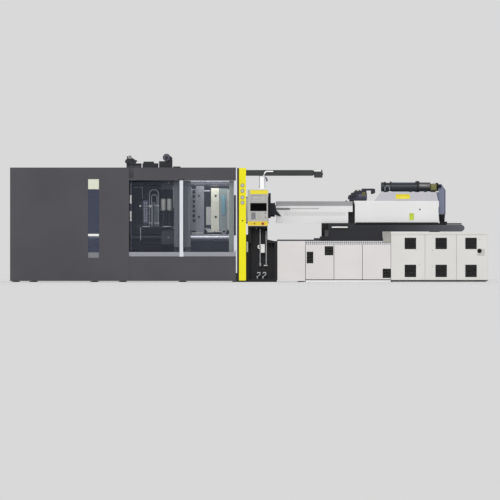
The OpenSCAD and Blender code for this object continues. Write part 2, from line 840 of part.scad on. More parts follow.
/* Guide tracks on the sills: a channel whose outer lip shows. */
module gate_tracks() {
    color("darkgray")
        both_sides()
            prism_x([x_gate, x_pillar], [[-y_sill, sill_top], [-leaf_y + leaf_t + 18, sill_top],
                [-leaf_y + leaf_t + 18, sill_top + 46], [-leaf_y + leaf_t + leaf_gap, sill_top + 46],
                [-leaf_y + leaf_t + leaf_gap, sill_top + 20], [-y_sill + track_lip, sill_top + 20],
                [-y_sill + track_lip, sill_top + track_h], [-y_sill, sill_top + track_h]]);
}

/* Gates: a light frame with an upright post and pull, and its pane. */
post_z = [sill_top - 6, header_z - 4];
post_y = -y_guard + 2;

module gate_frame() {
    y = [-leaf_y, -leaf_y + leaf_t];
    color("gainsboro") {
        difference() {
            block([leaf_x0, leaf_x1], y, [leaf_z0, leaf_z1]);
            block([leaf_x0 + post_w, leaf_x1 - 40], [y[0] - 1, y[1] + 1], [leaf_z0 + 60, leaf_z1 - 50]);
            block([leaf_x0 + post_w - 8, leaf_x1 - 32], [y[0] + 10, y[0] + 16], [leaf_z0 + 52, leaf_z1 - 42]);
        }
        difference() {
            block([leaf_x0 + 5, leaf_x0 + post_w + 5], [post_y, post_y + post_t], post_z);
            block([leaf_x0 + 25, leaf_x0 + post_w - 15], [post_y - 1, post_y + 5], [axis_z - 260, axis_z + 80]);
        }
        for (z = [post_z[0] + track_h + 40, post_z[1] - 120])
            block([leaf_x0 + 20, leaf_x0 + post_w - 5], [post_y + post_t - 1, y[0] + 1], [z, z + 60]);
    }
}

module gate_pane() {
    color("lightblue")
        block([leaf_x0 + post_w - 8, leaf_x1 - 32], [-leaf_y + 10, -leaf_y + 16], [leaf_z0 + 52, leaf_z1 - 42]);
}

module front_gate() {
    gate_frame();
}

module front_gate_pane() {
    gate_pane();
}

module rear_gate() {
    mirror([0, 1, 0])
        gate_frame();
}

module rear_gate_pane() {
    mirror([0, 1, 0])
        gate_pane();
}

/* Pillars beside the fixed platen, their yellow faces, and the profile that each gate closes on. */
face_t = 5;
module pillars() {
    color("black")
        both_sides()
            difference() {
                block([x_pillar, x_split], [-y_guard + face_t, -y_guard + face_t + pillar_d], [0, guard_h - 10]);
                // Recess in the side that faces the platen.
                block([x_pillar + 30, x_split - 30], [-y_guard + face_t + pillar_d - 40, -y_guard + face_t + pillar_d + 1],
                    [rigger_z[1] + 60, guard_h - 200]);
            }
}

module pillar_faces() {
    color("gold")
        both_sides()
            block([x_split - 140, x_split], [-y_guard, -y_guard + face_t], [30, guard_h - 10]);
}

module closing_profiles() {
    color("gainsboro")
        both_sides() {
            block([x_pillar - 2, x_pillar + 22], [-y_guard, -y_guard + face_t], [180, guard_h - 10]);
            for (z = [640, 1740])
                difference() {
                    block([x_pillar - 30, x_pillar], [-y_guard, -y_guard + 16], [z, z + 290]);
                    block([x_pillar - 22, x_pillar - 8], [-y_guard - 1, -y_guard + 8], [z + 30, z + 260]);
                }
        }
}

/* Water services: a black block with an open front, and the pipes in it. */
serv_y0 = -service_y + 16;
serv_back = serv_y0 + 220;
serv_h = inj_bed_h + 30;
x_step = x_split + 40;

module services_block() {
    color("black")
        difference() {
            prism_y([serv_y0, -inj_y], [[x_split, 0], [x_plain - gap, 0], [x_plain - gap, serv_h - 40], [x_plain - 190, serv_h],
                [x_plain - 190, axis_z - 320], [x_step, axis_z - 320], [x_step, serv_h + 100], [x_split, serv_h + 100]]);
            block([x_split + 60, x_plain - 50], [serv_y0 - 1, serv_back], [60, serv_h - 70]);
            block([x_step + 60, x_plain - 200], [serv_y0 - 1, serv_back], [serv_h - 71, axis_z - 360]);
        }
}

module coupling(x, z) {
    translate([x, serv_y0 + 90, z])
        rotate_extrude()
            polygon([[0, 0], [34, 0], [34, 30], [52, 40], [52, 90], [34, 100], [34, 126], [0, 126]]);
}

module water_pipes() {
    y = serv_y0 + 90;
    color("lightgray") {
        // Couplings that stand on the block's floor with the two risers.
        coupling(x_split + 268, 60);
        coupling(x_split + 388, 60);
        bar_z([185, axis_z - 380], x_split + 287, y, 26);
        bar_z([185, serv_h + 130], x_split + 400, y, 26);
        bar_x([x_split + 287, x_split + 400], y, 340, 26);
        block([x_split + 296, x_split + 386], [y - 30, y + 30], [580, 720]);
        prism_y([y - 30, y + 30], [[x_split + 296, 719], [x_split + 386, 719], [x_split + 366, 758], [x_split + 316, 758]]);
        // Clips back to the block, hidden by the risers.
        for (x = [x_split + 287, x_split + 400], z = [460, 660])
            block([x - 9, x + 9], [y + 8, serv_back], [z, z + 30]);
    }
}

/* Cable boom over the injection unit with its end block, and the panel's post below it. */
module cable_boom() {
    x0 = x_split;
    z1 = boom_z + boom_h;
    y = [-boom_y - boom_w / 2, -boom_y + boom_w / 2];
    color("dimgray")
        difference() {
            union() {
                block([x0, x0 + boom_l], y, [boom_z, z1]);
                block([x0 + boom_l - 1, x0 + boom_l + 19], [y[0] + 20, y[1] - 20], [boom_z + 15, z1 - 15]);
                prism_y([y[0] - 10, y[1] + 10], [[x0 + boom_l + 18, boom_z - 20], [x0 + boom_l + 34, boom_z - 38],
                    [x0 + boom_l + 190, boom_z - 38], [x0 + boom_l + 190, z1 - 6], [x0 + boom_l + 176, z1 + 8],
                    [x0 + boom_l + 18, z1 + 8]]);
            }
            block([x0 - 1, x0 + boom_l - 20], [y[0] + 5, y[1] - 5], [boom_z + 5, z1 - 5]);
        }
}

module panel_post() {
    z0 = panel_z + panel_h;
    yc = -boom_y - boom_w / 2;
    color("white") {
        difference() {
            block([post_x - 63, post_x + 63], [-boom_y - 40, -boom_y + 40], [z0 + 4, boom_z]);
            block([post_x - 55, post_x + 55], [-boom_y - 32, -boom_y + 32], [z0 + 20, boom_z + 1]);
            bar_z([z0 - 1, z0 + 21], post_x, -boom_y, swivel_d + 2 * fit);
        }
        // Conduit that curves out of the boom's face.
        translate([post_x + 100, yc - 14, boom_z + 38])
            rotate([90, 0, 0])
                rotate([0, 0, 90])
                    rotate_extrude(angle = 90)
                        translate([50, 0])
                            circle(d = 26);
        bar_x([post_x + 100, post_x + 220], yc - 14, boom_z + 88, 26);
        // Clips that hold it on the boom.
        block([post_x + 160, post_x + 180], [yc - 14, yc], [boom_z + 80, boom_z + 96]);
        block([post_x + 42, post_x + 58], [yc - 14, yc], [boom_z + 36, boom_z + 52]);
    }
}

/* Operator panel: a moulded housing that swivels on the post, with a screen and two buttons. */
bezel = 54;
screen_z = [panel_z + 302, panel_z + 454];
stop_x = panel_x + panel_w / 2 - 104;
start_x = panel_x - panel_w / 2 + 140;
button_z = panel_z + 44;

module panel_housing() {
    x = [panel_x - panel_w / 2, panel_x + panel_w / 2];
    y = [-panel_y, -panel_y + panel_d];
    z1 = panel_z + panel_h;
    color("silver")
        difference() {
            union() {
                // The case narrows towards the back and has a soft left edge.
                translate([0, 0, panel_z])
                    linear_extrude(panel_h)
                        polygon([[x[0] + 40, y[0]], [x[1] - 12, y[0]], [x[1], y[0] + 12], [x[1], y[0] + 60],
                            [x[1] - 40, y[1]], [x[0] + 30, y[1]], [x[0], y[0] + 60], [x[0], y[0] + 16]]);
                bar_z([z1 - 1, z1 + 20], post_x, -boom_y, swivel_d);
            }
            // Recesses for the display, the screen and the key field.
            block([x[0] + bezel, x[1] - 32], [y[0] - 1, y[0] + 3], [screen_z[1] + 6, z1 - 86]);
            block([x[0] + bezel, x[1] - 32], [y[0] - 1, y[0] + 8], screen_z);
            block([x[0] + bezel, x[1] - 32], [y[0] - 1, y[0] + 3], [panel_z + 94, screen_z[0] - 12]);
            bar_y([y[0] - 1, y[0] + 40], stop_x, button_z, 22 + 2 * fit);
            bar_y([y[0] - 1, y[0] + 40], start_x, button_z, 16 + 2 * fit);
        }
}

module panel_screen() {
    color("black")
        block([panel_x - panel_w / 2 + bezel, panel_x + panel_w / 2 - 32], [-panel_y + 2, -panel_y + 8], screen_z);
}

module emergency_stop() {
    color("red")
        translate([stop_x, -panel_y, button_z])
            rotate([90, 0, 0])
                rotate_extrude()
                    polygon([[0, -30], [11, -30], [11, 10], [stop_d / 2 - 4, 12], [stop_d / 2, 17], [stop_d / 2 - 3, 25],
                        [stop_d / 2 - 10, 29], [0, 31]]);
}

module start_button() {
    color("black")
        translate([start_x, -panel_y, button_z])
            rotate([90, 0, 0])
                rotate_extrude()
                    polygon([[0, -30], [8, -30], [8, 7], [12, 7], [12, 11], [10, 13], [0, 13]]);
}

/* Purge guard round the nozzle: a hood on the fixed platen with a collar, a stay and a guide rod. */
hood_x1 = x_split + 448;
purge_y = 340;
purge_z = [axis_z - 270, axis_z + 270];
collar_l = 82;

module purge_guard() {
    ring = hood_x1 + 48;
    color("black") {
        difference() {
            union() {
                block([x_back, hood_x1], [-purge_y, purge_y], [purge_z[1] - sheet, purge_z[1]]);
                block([x_back, hood_x1], [purge_y - sheet, purge_y], purge_z);
                block([x_back, hood_x1], [-purge_y, purge_y], [purge_z[0], purge_z[0] + sheet]);
                block([hood_x1 - 1, ring], [-purge_y, purge_y], [axis_z - 160, axis_z + 340]);
                block([hood_x1 - 12, hood_x1], [-purge_y, purge_y], purge_z);
                bar_x([ring - 1, ring + collar_l], 0, axis_z, barrel_d + 70);
            }
            bar_x([hood_x1 - 13, ring + collar_l + 1], 0, axis_z, barrel_d + 40);
            block([hood_x1, ring - 8], [-purge_y + 8, purge_y - 8], [axis_z - 152, axis_z - 128]);
            block([hood_x1, ring - 8], [-purge_y + 8, purge_y - 8], [axis_z + 128, axis_z + 332]);
            // Slot in the floor for purged plastic.
            block([x_back + 60, hood_x1 - 60], [-180, 180], [purge_z[0] - 1, purge_z[0] + sheet + 1]);
        }
        // Side stay with its brace, and the guide rod beside the barrel cover.
        prism_y([-purge_y - 16, -purge_y - 4], [[ring - 20, axis_z - 98], [ring + collar_l, axis_z - 98],
            [ring + 190, axis_z - 124], [ring + 204, axis_z - 112], [ring + collar_l + 20, axis_z + 8],
            [ring + collar_l, axis_z + 160], [ring + collar_l - 14, axis_z + 142], [ring - 20, axis_z + 142]]);
        block([ring - 20, ring], [-purge_y - 5, -purge_y + 1], [axis_z - 60, axis_z + 100]);
        bar_x([ring + collar_l - 10, ring + 384], -purge_y - 10, axis_z + 25, 22);
        // Hinge pin for the door on the platen side.
        for (z = [purge_z[0] + 2, purge_z[1] - 22])
            block([x_back, x_back + 30], [-purge_y - 22, -purge_y + 1], [z, z + 20]);
        bar_z([purge_z[0] + 22, purge_z[0] + 42], x_back + 15, -purge_y - 10, 10);
        bar_z([purge_z[1] - 42, purge_z[1] - 22], x_back + 15, -purge_y - 10, 10);
    }
}

module purge_door() {
    z = [purge_z[0] + 22 + gap, purge_z[1] - 22 - gap];
    y = [-purge_y - 18, -purge_y - 3];
    color("dimgray")
        difference() {
            union() {
                block([x_back + 15, hood_x1 - 4], [y[0], y[0] + 6], z);
                block([x_back + 15, x_back + 24], y, z);
                block([hood_x1 - 12, hood_x1 - 4], y, z);
                bar_z(z, x_back + 15, -purge_y - 10, 19);
                // Pull.
                block([hood_x1 - 60, hood_x1 - 40], [y[0] - 30, y[0] + 1], [axis_z - 60, axis_z - 50]);
                block([hood_x1 - 60, hood_x1 - 40], [y[0] - 30, y[0] + 1], [axis_z + 50, axis_z + 60]);
                block([hood_x1 - 60, hood_x1 - 40], [y[0] - 38, y[0] - 29], [axis_z - 60, axis_z + 60]);
            }
            for (s = [z[0] - 1, z[1] - 20])
                bar_z([s, s + 21], x_back + 15, -purge_y - 10, 10 + 2 * fit);
            slots_z([x_back + 90, hood_x1 - 110], [y[0] - 1, y[0] + 7], [axis_z - 180, axis_z + 180], 9, 24);
        }
}

/* Injection bed: two C beams with a deck, rails, cross plates and the frame behind the service covers. */
bed_posts = [for (i = [0:5]) x_split + 200 + i * (x_right - x_split - 400) / 5];

// Half a rail's outline, d mm larger for the guide blocks.
function rail_half(d, z0) = [[rail_w / 2 + d, z0], [rail_w / 2 + d, inj_bed_h + 18 + d], [rail_w / 4 + 2 * d, inj_bed_h + 30],
    [rail_w / 2 + d, inj_bed_h + 42 - d], [rail_w / 2 + d, inj_bed_h + rail_h + d]];

module rail(x, s, d, z0) {
    p = rail_half(d, z0);
    prism_x(x, concat([for (q = p) [s * rail_y + q[0], q[1]]], [for (i = [4:-1:0]) [s * rail_y - p[i][0], p[i][1]]]));
}

module injection_bed() {
    color("darkgray") {
        both_sides()
            prism_x([x_split, x_right - 40], [[inj_y - 100, foot_h], [inj_y, foot_h], [inj_y, foot_h + 40],
                [inj_y - 80, foot_h + 40], [inj_y - 80, inj_bed_h - 40], [inj_y, inj_bed_h - 40], [inj_y, inj_bed_h],
                [inj_y - 100, inj_bed_h]]);
        block([x_split, x_right - 40], [-inj_y + 90, inj_y - 90], [inj_bed_h - 12, inj_bed_h]);
        for (x = bed_posts)
            difference() {
                block([x, x + 20], [-inj_y + 90, inj_y - 90], [foot_h + 20, inj_bed_h - 11]);
                bar_x([x - 1, x + 21], 0, (foot_h + inj_bed_h) / 2, 300);
            }
        for (s = [-1, 1])
            rail([x_rail, x_right - 60], s, 0, inj_bed_h - 1);
        // Ties to the cabinet's back.
        for (x = [x_cab + 200, x_right - 400])
            block([x, x + 60], [cab_back, -inj_y + 1], [foot_h, foot_h + 40]);
        // Drip edge in front of the barrel.
        block([x_plain, x_car - 4], [-inj_y, -inj_y + 6], [inj_bed_h - 1, inj_bed_h + 30]);
        // Frame that carries the service covers.
        for (i = [0:bay_n]) {
            x = x_plain + i * bay_l + (i == 0 ? 25 : 0);
            block([x - 20, x + 20], [-y_cover, -y_cover + 40], [foot_h, inj_bed_h - 74]);
            block([x - 20, x + 20], [-y_cover + 39, -inj_y + 1], [foot_h, foot_h + 60]);
        }
        for (z = [[foot_h, foot_h + 60], [inj_bed_h - 120, inj_bed_h - 74]])
            block([x_plain + 5, x_cab - 2], [-y_cover, -y_cover + 40], z);
        block([x_plain + 5, x_cab - 2], [-y_cover, -y_cover + 12], [inj_bed_h - 75, inj_bed_h - 4]);
    }
}

/* Covers: a plain one and vented ones in front, plain ones at the rear. */
module service_cover(i) {
    x = x_plain + i * bay_l;
    cut = [-service_y - 1, -service_y + sheet + 1];
    difference() {
        tray([x + 5, x + bay_l - 5], -service_y, -y_cover, [30, inj_bed_h - 72]);
        // Louvres: low left on the first cover, high right on the first, low right on the last.
        if (i == 1) {
            slots_z([x + 30, x + 150], cut, [380, 600], 8, 12);
            slots_z([x + 390, x + bay_l - 20], cut, [540, 710], 6, 12);
        }
        if (i == bay_n)
            slots_z([x + 410, x + bay_l - 10], cut, [86, 260], 6, 12);
    }
}

module service_covers() {
    color("gainsboro") {
        // The plain cover folds over the top of its bay.
        difference() {
            block([x_plain + 10, x_bays - 5], [-service_y, -inj_y - gap], [guard_lift, inj_bed_h]);
            block([x_plain + 9, x_bays - 4], [-service_y + sheet, -inj_y], [guard_lift - 1, inj_bed_h - sheet]);
        }
        block([x_plain + 10, x_bays - 5], [-service_y + sheet - 0.01, -y_cover], [foot_h + 5, foot_h + 50]);
        for (i = [1:bay_n])
            service_cover(i);
        for (i = [0:bay_n]) {
            x = x_plain + i * bay_l;
            difference() {
                block([x + 5, x + bay_l - 5], [inj_y, inj_y + sheet], [foot_h + 4, inj_bed_h - 4]);
                slots_z([x + 180, x + bay_l - 180], [inj_y - 1, inj_y + sheet + 1], [250, 400], 6, 12);
            }
        }
    }
}

module tread_strip() {
    color("darkgray")
        difference() {
            block([x_bays, x_cab - 2], [-service_y, -inj_y], [inj_bed_h - 70, inj_bed_h]);
            block([x_bays - 1, x_cab + 1], [-service_y + sheet, -inj_y + 1], [inj_bed_h - 71, inj_bed_h - sheet]);
        }
}

/* Oil tank with its pump and motor, on the outriggers behind the service covers. */
module pump_unit() {
    z0 = foot_h + 60;
    y = [-y_cover + 60, -inj_y - 20];
    ym = (y[0] + y[1]) / 2;
    x = x_bays + bay_l;
    color("slategray") {
        difference() {
            block([x_bays - 30, x + 30], y, [z0, z0 + 420]);
            block([x_bays - 24, x + 24], [y[0] + 6, y[1] - 6], [z0 + 6, z0 + 414]);
        }
        block([x_bays - 40, x + 40], [y[0] - 10, y[1] + 10], [z0 + 420, z0 + 432]);
        // Motor and pump on a foot plate.
        block([x + 40, x_cab - 40], [ym - 150, ym + 150], [z0, z0 + 20]);
        for (xf = [x + 200, x + 420])
            block([xf, xf + 40], [ym - 120, ym + 120], [z0 + 19, z0 + 120]);
        bar_x([x + 140, x + 620], ym, z0 + 200, 280);
        bar_x([x + 29, x + 141], ym, z0 + 200, 150);
        bar_x([x + 619, x + 660], ym, z0 + 200, 250);
    }
}

/* Electrical cabinet: a carcass with dividers, a top slab, hinge pins and a junction block beside it. */
carcass_y = -service_y + door_t + door_back;
cab_back = -side_y - side_t - 10;

module cabinet_body() {
    z1 = cabinet_h - slab_t;
    color("gainsboro") {
        difference() {
            block([x_cab, x_right], [carcass_y, cab_back], [30, z1 + 1]);
            for (i = [0:2])
                block([door_x[i] + 14, door_x[i] + door_ws[i] - 14], [carcass_y - 1, cab_back - sheet], [40, z1 - 12]);
        }
        block([x_cab, x_right], [-service_y + 2, carcass_y + 1], [30, 36]);
        block([x_cab + 30, x_right - 30], [carcass_y + 40, cab_back - 20], [0, 31]);
        block([x_cab, x_right], [-service_y - 4, cab_back], [z1, cabinet_h]);
        for (i = [0:2]) {
            bar_z([35, door_z0 + 12], door_x[i] + door_gap / 2 + door_in, -service_y + door_in, door_pin_d);
            bar_z([door_z1 - 12, z1 + 1], door_x[i] + door_gap / 2 + door_in, -service_y + door_in, door_pin_d);
        }
    }
    // Junction block on the tread strip.
    color("darkgray")
        difference() {
            block([x_cab - 160, x_cab], [-service_y + 40, -service_y + 200], [inj_bed_h, inj_bed_h + 190]);
            block([x_cab - 150, x_cab - 10], [-service_y + 39, -service_y + 46], [inj_bed_h + 12, inj_bed_h + 178]);
        }
}

// Louvred areas of a door, as offsets from its left edge.
vent_w = 218;
vent_x = [280, 214, 182];
vent_low = [104, 340];
vent_high = [664, 880];

module cabinet_door(i) {
    x = [door_x[i] + door_gap / 2, door_x[i] + door_ws[i] - door_gap / 2];
    y = [-service_y, -service_y + door_t];
    v = [door_x[i] + vent_x[i], door_x[i] + vent_x[i] + vent_w];
    color("gainsboro")
        difference() {
            union() {
                tray(x, y[0], y[1], [door_z0, door_z1]);
                for (z = [door_z0, door_z1 - 24])
                    block([x[0], x[0] + 30], y, [z, z + 24]);
                // Stiffener behind the handle side.
                block([x[1] - 60, x[1] - 50], [y[0] + 1, y[1]], [door_z0 + 1, door_z1 - 1]);
            }
            for (z = [door_z0 - 1, door_z1 - 16])
                bar_z([z, z + 17], x[0] + door_in, y[0] + door_in, door_pin_d + 2 * fit);
            for (z = [vent_low, vent_high])
                slots_z(v, [y[0] - 1, y[0] + sheet + 1], [z[0], min(z[1], door_z1 - 30)], 9, 9);
            if (i == 2)
                bar_y([y[0] - 1, y[1] + 1], switch_x, switch_z, 12 + 2 * fit);
        }
}

module cabinet_door_1() {
    cabinet_door(0);
}

module cabinet_door_2() {
    cabinet_door(1);
}

module cabinet_door_3() {
    cabinet_door(2);
}

module main_switch() {
    color("black")
        translate([switch_x, -service_y, switch_z]) {
            rotate([90, 0, 0])
                rotate_extrude()
                    polygon([[0, -door_t], [6, -door_t], [6, gap], [34, gap], [34, 8], [30, 14], [0, 14]]);
            block([-9, 9], [-34, -13], [-30, 30]);
        }
}

/* Carriage: two side plates with long beams, a deck and guide blocks on the rails. */
car_x1 = x_car + carriage_l;

module guide_block(x, s) {
    y = s * rail_y;
    difference() {
        block(x, [y - rail_w / 2 - 30, y + rail_w / 2 + 30], [inj_bed_h + 6, deck_z - 29]);
        rail([x[0] - 1, x[1] + 1], s, gap, inj_bed_h + 5);
    }
}

module carriage_side() {
    z1 = deck_z;
    xd = x_car + deep_l;
    xt = x_car + carriage_l - 400;
    difference() {
        prism_y([side_y, side_y + side_t], [[x_car, side_z0 + 20], [x_car + 20, side_z0], [xd - 30, side_z0], [xd, side_z0 + 30],
            [xd, beam_z0 + 4], [xd + 6, beam_z0], [car_x1 - 60, beam_z0], [car_x1 - 14, beam_z0 + 30],
            [car_x1, beam_z0 + 70], [car_x1 - 14, beam_z0 + 110], [car_x1 - 50, beam_z0 + 136], [xt, beam_z0 + 136],
            [xt - 20, z1], [x_car, z1]]);
        // Shallow panel in the deep part.
        block([x_car + 120, x_car + deep_l - 120], [side_y + side_t - 8, side_y + side_t + 1], [side_z0 + 60, beam_z0 + 40]);
    }
}

module carriage_frame() {
    color("darkslateblue") {
        both_sides() {
            carriage_side();
            // Lip and bracket at the front end.
            block([x_car - 34, x_car + 140], [side_y + side_t - 10, side_y + side_t + 14], [side_z0 + 30, side_z0 + 86]);
            block([x_car + 64, x_car + 166], [side_y + side_t - 10, side_y + side_t + 8], [side_z0 + 85, beam_z0 + 30]);
        }
        block([x_car, car_x1 - 60], [-side_y - 1, side_y + 1], [deck_z - 30, deck_z]);
        // Grab bar on the front side plate.
        block([x_car + 204, x_car + 522], [-side_y - side_t - 42, -side_y - side_t - 22], [beam_z0 + 68, beam_z0 + 106]);
        for (x = [x_car + 214, x_car + 484])
            block([x, x + 28], [-side_y - side_t - 23, -side_y - side_t + 1], [beam_z0 + 74, beam_z0 + 100]);
        for (x = [x_car + 20, x_car + deep_l - 240, car_x1 - 700], s = [-1, 1])
            guide_block([x, x + 200], s);
        // Ties from the guide blocks to the side plates.
        both_sides()
            for (x = [x_car + 80, x_car + deep_l - 180])
                block([x, x + 40], [rail_y + rail_w / 2 + 29, side_y + 1], [side_z0 + 40, deck_z - 20]);
    }
}

/* Barrel, heater bands and screw. */
module barrel() {
    r = barrel_d / 2;
    color("gray")
        difference() {
            turned_x(0, axis_z, [[8, nozzle_x], [18, nozzle_x], [30, nozzle_x + 14], [30, head_x - 20], [50, head_x - 4],
                [r - 12, head_x + 26], [r + 12, head_x + 34], [r + 12, head_x + 100], [r, head_x + 106], [r, barrel_x1],
                [bore_r, barrel_x1], [bore_r, head_x + 60], [8, head_x + 20]]);
            bar_z([axis_z, axis_z + barrel_d], feed_x0 + 66, 0, 60);
        }
}

band_n = 6;
band_x0 = bcover_x0 + 148;
band_pitch = (bcover_x1 - 220 - band_x0) / band_n;

module heater_bands() {
    color("silver")
        for (i = [0:band_n - 1]) {
            x = band_x0 + i * band_pitch;
            difference() {
                union() {
                    bar_x([x, x + band_pitch - 24], 0, axis_z, barrel_d + 24);
                    block([x + 20, x + band_pitch - 44], [-14, 14], [axis_z - barrel_d / 2 - 34, axis_z - barrel_d / 2]);
                }
                bar_x([x - 1, x + band_pitch], 0, axis_z, barrel_d + 0.2);
                block([x - 1, x + band_pitch], [-2, 2], [axis_z - barrel_d, axis_z - barrel_d / 2 + 2]);
            }
        }
}

flight_pitch = 100;
screw_x0 = head_x + 62;
screw_x1 = thrust_x + 80;

module screw() {
    root = screw_d / 2 - 12;
    turns = flight_l / flight_pitch;
    color("gainsboro") {
        translate([screw_x0 + 40, 0, axis_z])
            rotate([0, 90, 0])
                linear_extrude(flight_l, twist = -360 * turns, slices = 10 * turns, $fn = 9)
                    polygon([for (a = [[-14, screw_d / 2], [14, screw_d / 2], [34, root], [90, root], [140, root],
                        [190, root], [240, root], [290, root], [326, root]]) [a[1] * cos(a[0]), a[1] * sin(a[0])]]);
        turned_x(0, axis_z, [[0, screw_x0], [4, screw_x0], [root - 5, screw_x0 + 41], [0, screw_x0 + 41]]);
        turned_x(0, axis_z, [[0, screw_x0 + 39 + flight_l], [shaft_d / 2, screw_x0 + 39 + flight_l],
            [shaft_d / 2, screw_x1], [0, screw_x1]]);
    }
}

/* Barrel cover: a folded sheet with a sloped shoulder, a vent band and two bulkheads on the barrel. */
bc_z = [deck_z, axis_z - 36, axis_z + 80, axis_z + 176];

function bc_outline(d) = [[-bcover_y + d, bc_z[0] - 1 + (d > 0 ? -1 : 1)], [-bcover_y + d, bc_z[2] - d * 0.3],
    [-bcover_y + 150 + d * 0.6, bc_z[3] - d], [bcover_y - 150 - d * 0.6, bc_z[3] - d],
    [bcover_y - d, bc_z[2] - d * 0.3], [bcover_y - d, bc_z[0] - 1 + (d > 0 ? -1 : 1)]];

module barrel_cover() {
    color("gainsboro") {
        difference() {
            prism_x([bcover_x0, bcover_x1], bc_outline(0));
            prism_x([bcover_x0 - 1, bcover_x1 + 1], bc_outline(sheet));
            // The lower right corner leaves the feed block bare.
            block([bcover_x1 - 90, bcover_x1 + 1], [-bcover_y - 1, bcover_y + 1], [bc_z[0] - 2, bc_z[1]]);
            bar_z([bc_z[3] - 20, bc_z[3] + 1], feed_x0 + 66, 0, 96);
            // Vent band.
            slots_x([bcover_x0 + 166, bcover_x1 - 150], [-bcover_y - 1, bcover_y + 1], [bc_z[1] - 78, bc_z[1] - 6], 40, 14);
        }
        for (x = [bcover_x0 + 120, bcover_x1 - 200])
            difference() {
                prism_x([x, x + 8], bc_outline(sheet - 0.01));
                bar_x([x - 1, x + 9], 0, axis_z, barrel_d + 0.2);
                block([x - 1, x + 9], [-bcover_y, bcover_y], [bc_z[0] - 5, axis_z - 190]);
            }
    }
}

/* Feed throat: the block round the barrel's rear, its neck, and the loader head with an arm. */
module feed_throat() {
    x = feed_x0 + 66;
    y0 = -120;
    color("black") {
        difference() {
            union() {
                block([feed_x0, feed_x1], [-165, 165], [deck_z, axis_z + 120]);
                block([feed_x0 + 20, feed_x1 - 10], [-100, 100], [axis_z + 119, bc_z[3] - 24]);
                bar_z([bc_z[3] - 25, bc_z[3] + 12], x, 0, 90);
            }
            bar_x([feed_x0 - 1, feed_x1 + 1], 0, axis_z, barrel_d + 0.2);
            bar_z([axis_z + 80, bc_z[3] + 13], x, 0, 60);
        }
        // Loader head.
        difference() {
            prism_y([y0, -y0], [for (p = [[-46, 12], [300, 12], [300, 222], [236, 222], [50, 204], [40, 176], [-4, 174],
                [-20, 130], [-56, 124], [-76, 80], [-70, 40], [-46, 34]]) [x + p[0], bc_z[3] + p[1]]]);
            bar_z([bc_z[3] + 11, bc_z[3] + 150], x, 0, 60);
        }
        bar_y([y0 - 16, y0 + 1], x + 254, bc_z[3] + 146, 76);
        // Arm with a turned-down end.
        prism_y([y0 + 10, y0 + 50], [[x + 200, bc_z[3] + 221], [x + 270, bc_z[3] + 221], [x + 300, bc_z[3] + 214],
            [x + 386, bc_z[3] + 214], [x + 386, bc_z[3] + 146], [x + 430, bc_z[3] + 146], [x + 474, bc_z[3] + 170],
            [x + 474, bc_z[3] + 242], [x + 450, bc_z[3] + 256], [x + 200, bc_z[3] + 256]]);
    }
}

/* Drive housing: a hollow case with guide bars for the thrust block that pushes the screw. */
guide_y = 230;
guide_d = 50;

module drive_housing() {
    wall = 8;
    color("whitesmoke") {
        difference() {
            prism_x([drive_x0, drive_x1], [[-drive_y, deck_z], [drive_y, deck_z], [drive_y, drive_top - 20],
                [drive_y - 20, drive_top], [-drive_y + 20, drive_top], [-drive_y, drive_top - 20]]);
            block([drive_x0 + wall, drive_x1 - wall], [-drive_y + wall, drive_y - wall], [deck_z + wall, drive_top - 24]);
            bar_x([drive_x0 - 1, drive_x0 + wall + 1], 0, axis_z, screw_d + 30);
        }
        for (s = [-1, 1])
            bar_x([drive_x0 + wall - 1, drive_x1 - wall + 1], s * guide_y, axis_z, guide_d);
    }
}

module thrust_block() {
    color("dimgray")
        difference() {
            union() {
                block([thrust_x, thrust_x + thrust_l], [-guide_y - 50, guide_y + 50], [axis_z - 80, axis_z + 80]);
                bar_x([thrust_x + thrust_l - 1, thrust_x + thrust_l + 60], 0, axis_z, 140);
            }
            for (s = [-1, 1])
                bar_x([thrust_x - 1, thrust_x + thrust_l + 1], s * guide_y, axis_z, guide_d + 2 * fit);
            bar_x([thrust_x - 1, screw_x1 + gap], 0, axis_z, shaft_d + 2 * fit);
        }
}

/* Hood on the drive housing: a tapering case, open below. */
hood_x = [drive_x0 + 388, drive_x1];

module drive_hood() {
    z = [drive_top, drive_top + hood_h];
    color("lightgray")
        difference() {
            prism_y([-hood_y, hood_y], [[hood_x[0], z[0]], [hood_x[1], z[0]], [hood_x[1] - 54, z[1]], [hood_x[0] + 134, z[1]]]);
            prism_y([-hood_y + sheet, hood_y - sheet], [[hood_x[0] + 8, z[0] - 1], [hood_x[1] - 6, z[0] - 1],
                [hood_x[1] - 54 - 5, z[1] - sheet], [hood_x[0] + 134 + 3, z[1] - sheet]]);
        }
}

/* Cylinder along the hood with its end cap, clamp band, valve and shoulder. */
top_y = -150;
top_d = 190;
top_z = drive_top + hood_h + top_d / 2 + 8 + gap;

module top_cylinder() {
    r = top_d / 2;
    x = hood_x[0] + 134;
    x1 = hood_x[1] - 54;
    color("darkslategray") {
        turned_x(top_y, top_z, [[0, x], [r - 14, x], [r, x + 10], [r, x + 60], [r - 8, x + 66], [r - 8, x + 206],
            [r, x + 212], [r, x + 684], [r + 8, x + 686], [r + 8, x + 776], [r - 3, x + 778], [r - 3, x + 990], [0, x + 990]]);
        // Lugs, pedestal feet and the clamp band's lock.
        block([x + 180, x + 210], [top_y - 30, top_y + 30], [top_z + r - 20, top_z + r + 16]);
        block([x + 694, x + 768], [top_y - 24, top_y + 24], [top_z + r - 10, top_z + r + 24]);
        for (px = [x + 90, x + 560, x + 860])
            block([px, px + 60], [top_y - 60, top_y + 60], [drive_top + hood_h, top_z - r + 24]);
        block([x + 989, x1 - 2], [top_y - 70, top_y + 70], [drive_top + hood_h, top_z + r - 30]);
    }
}

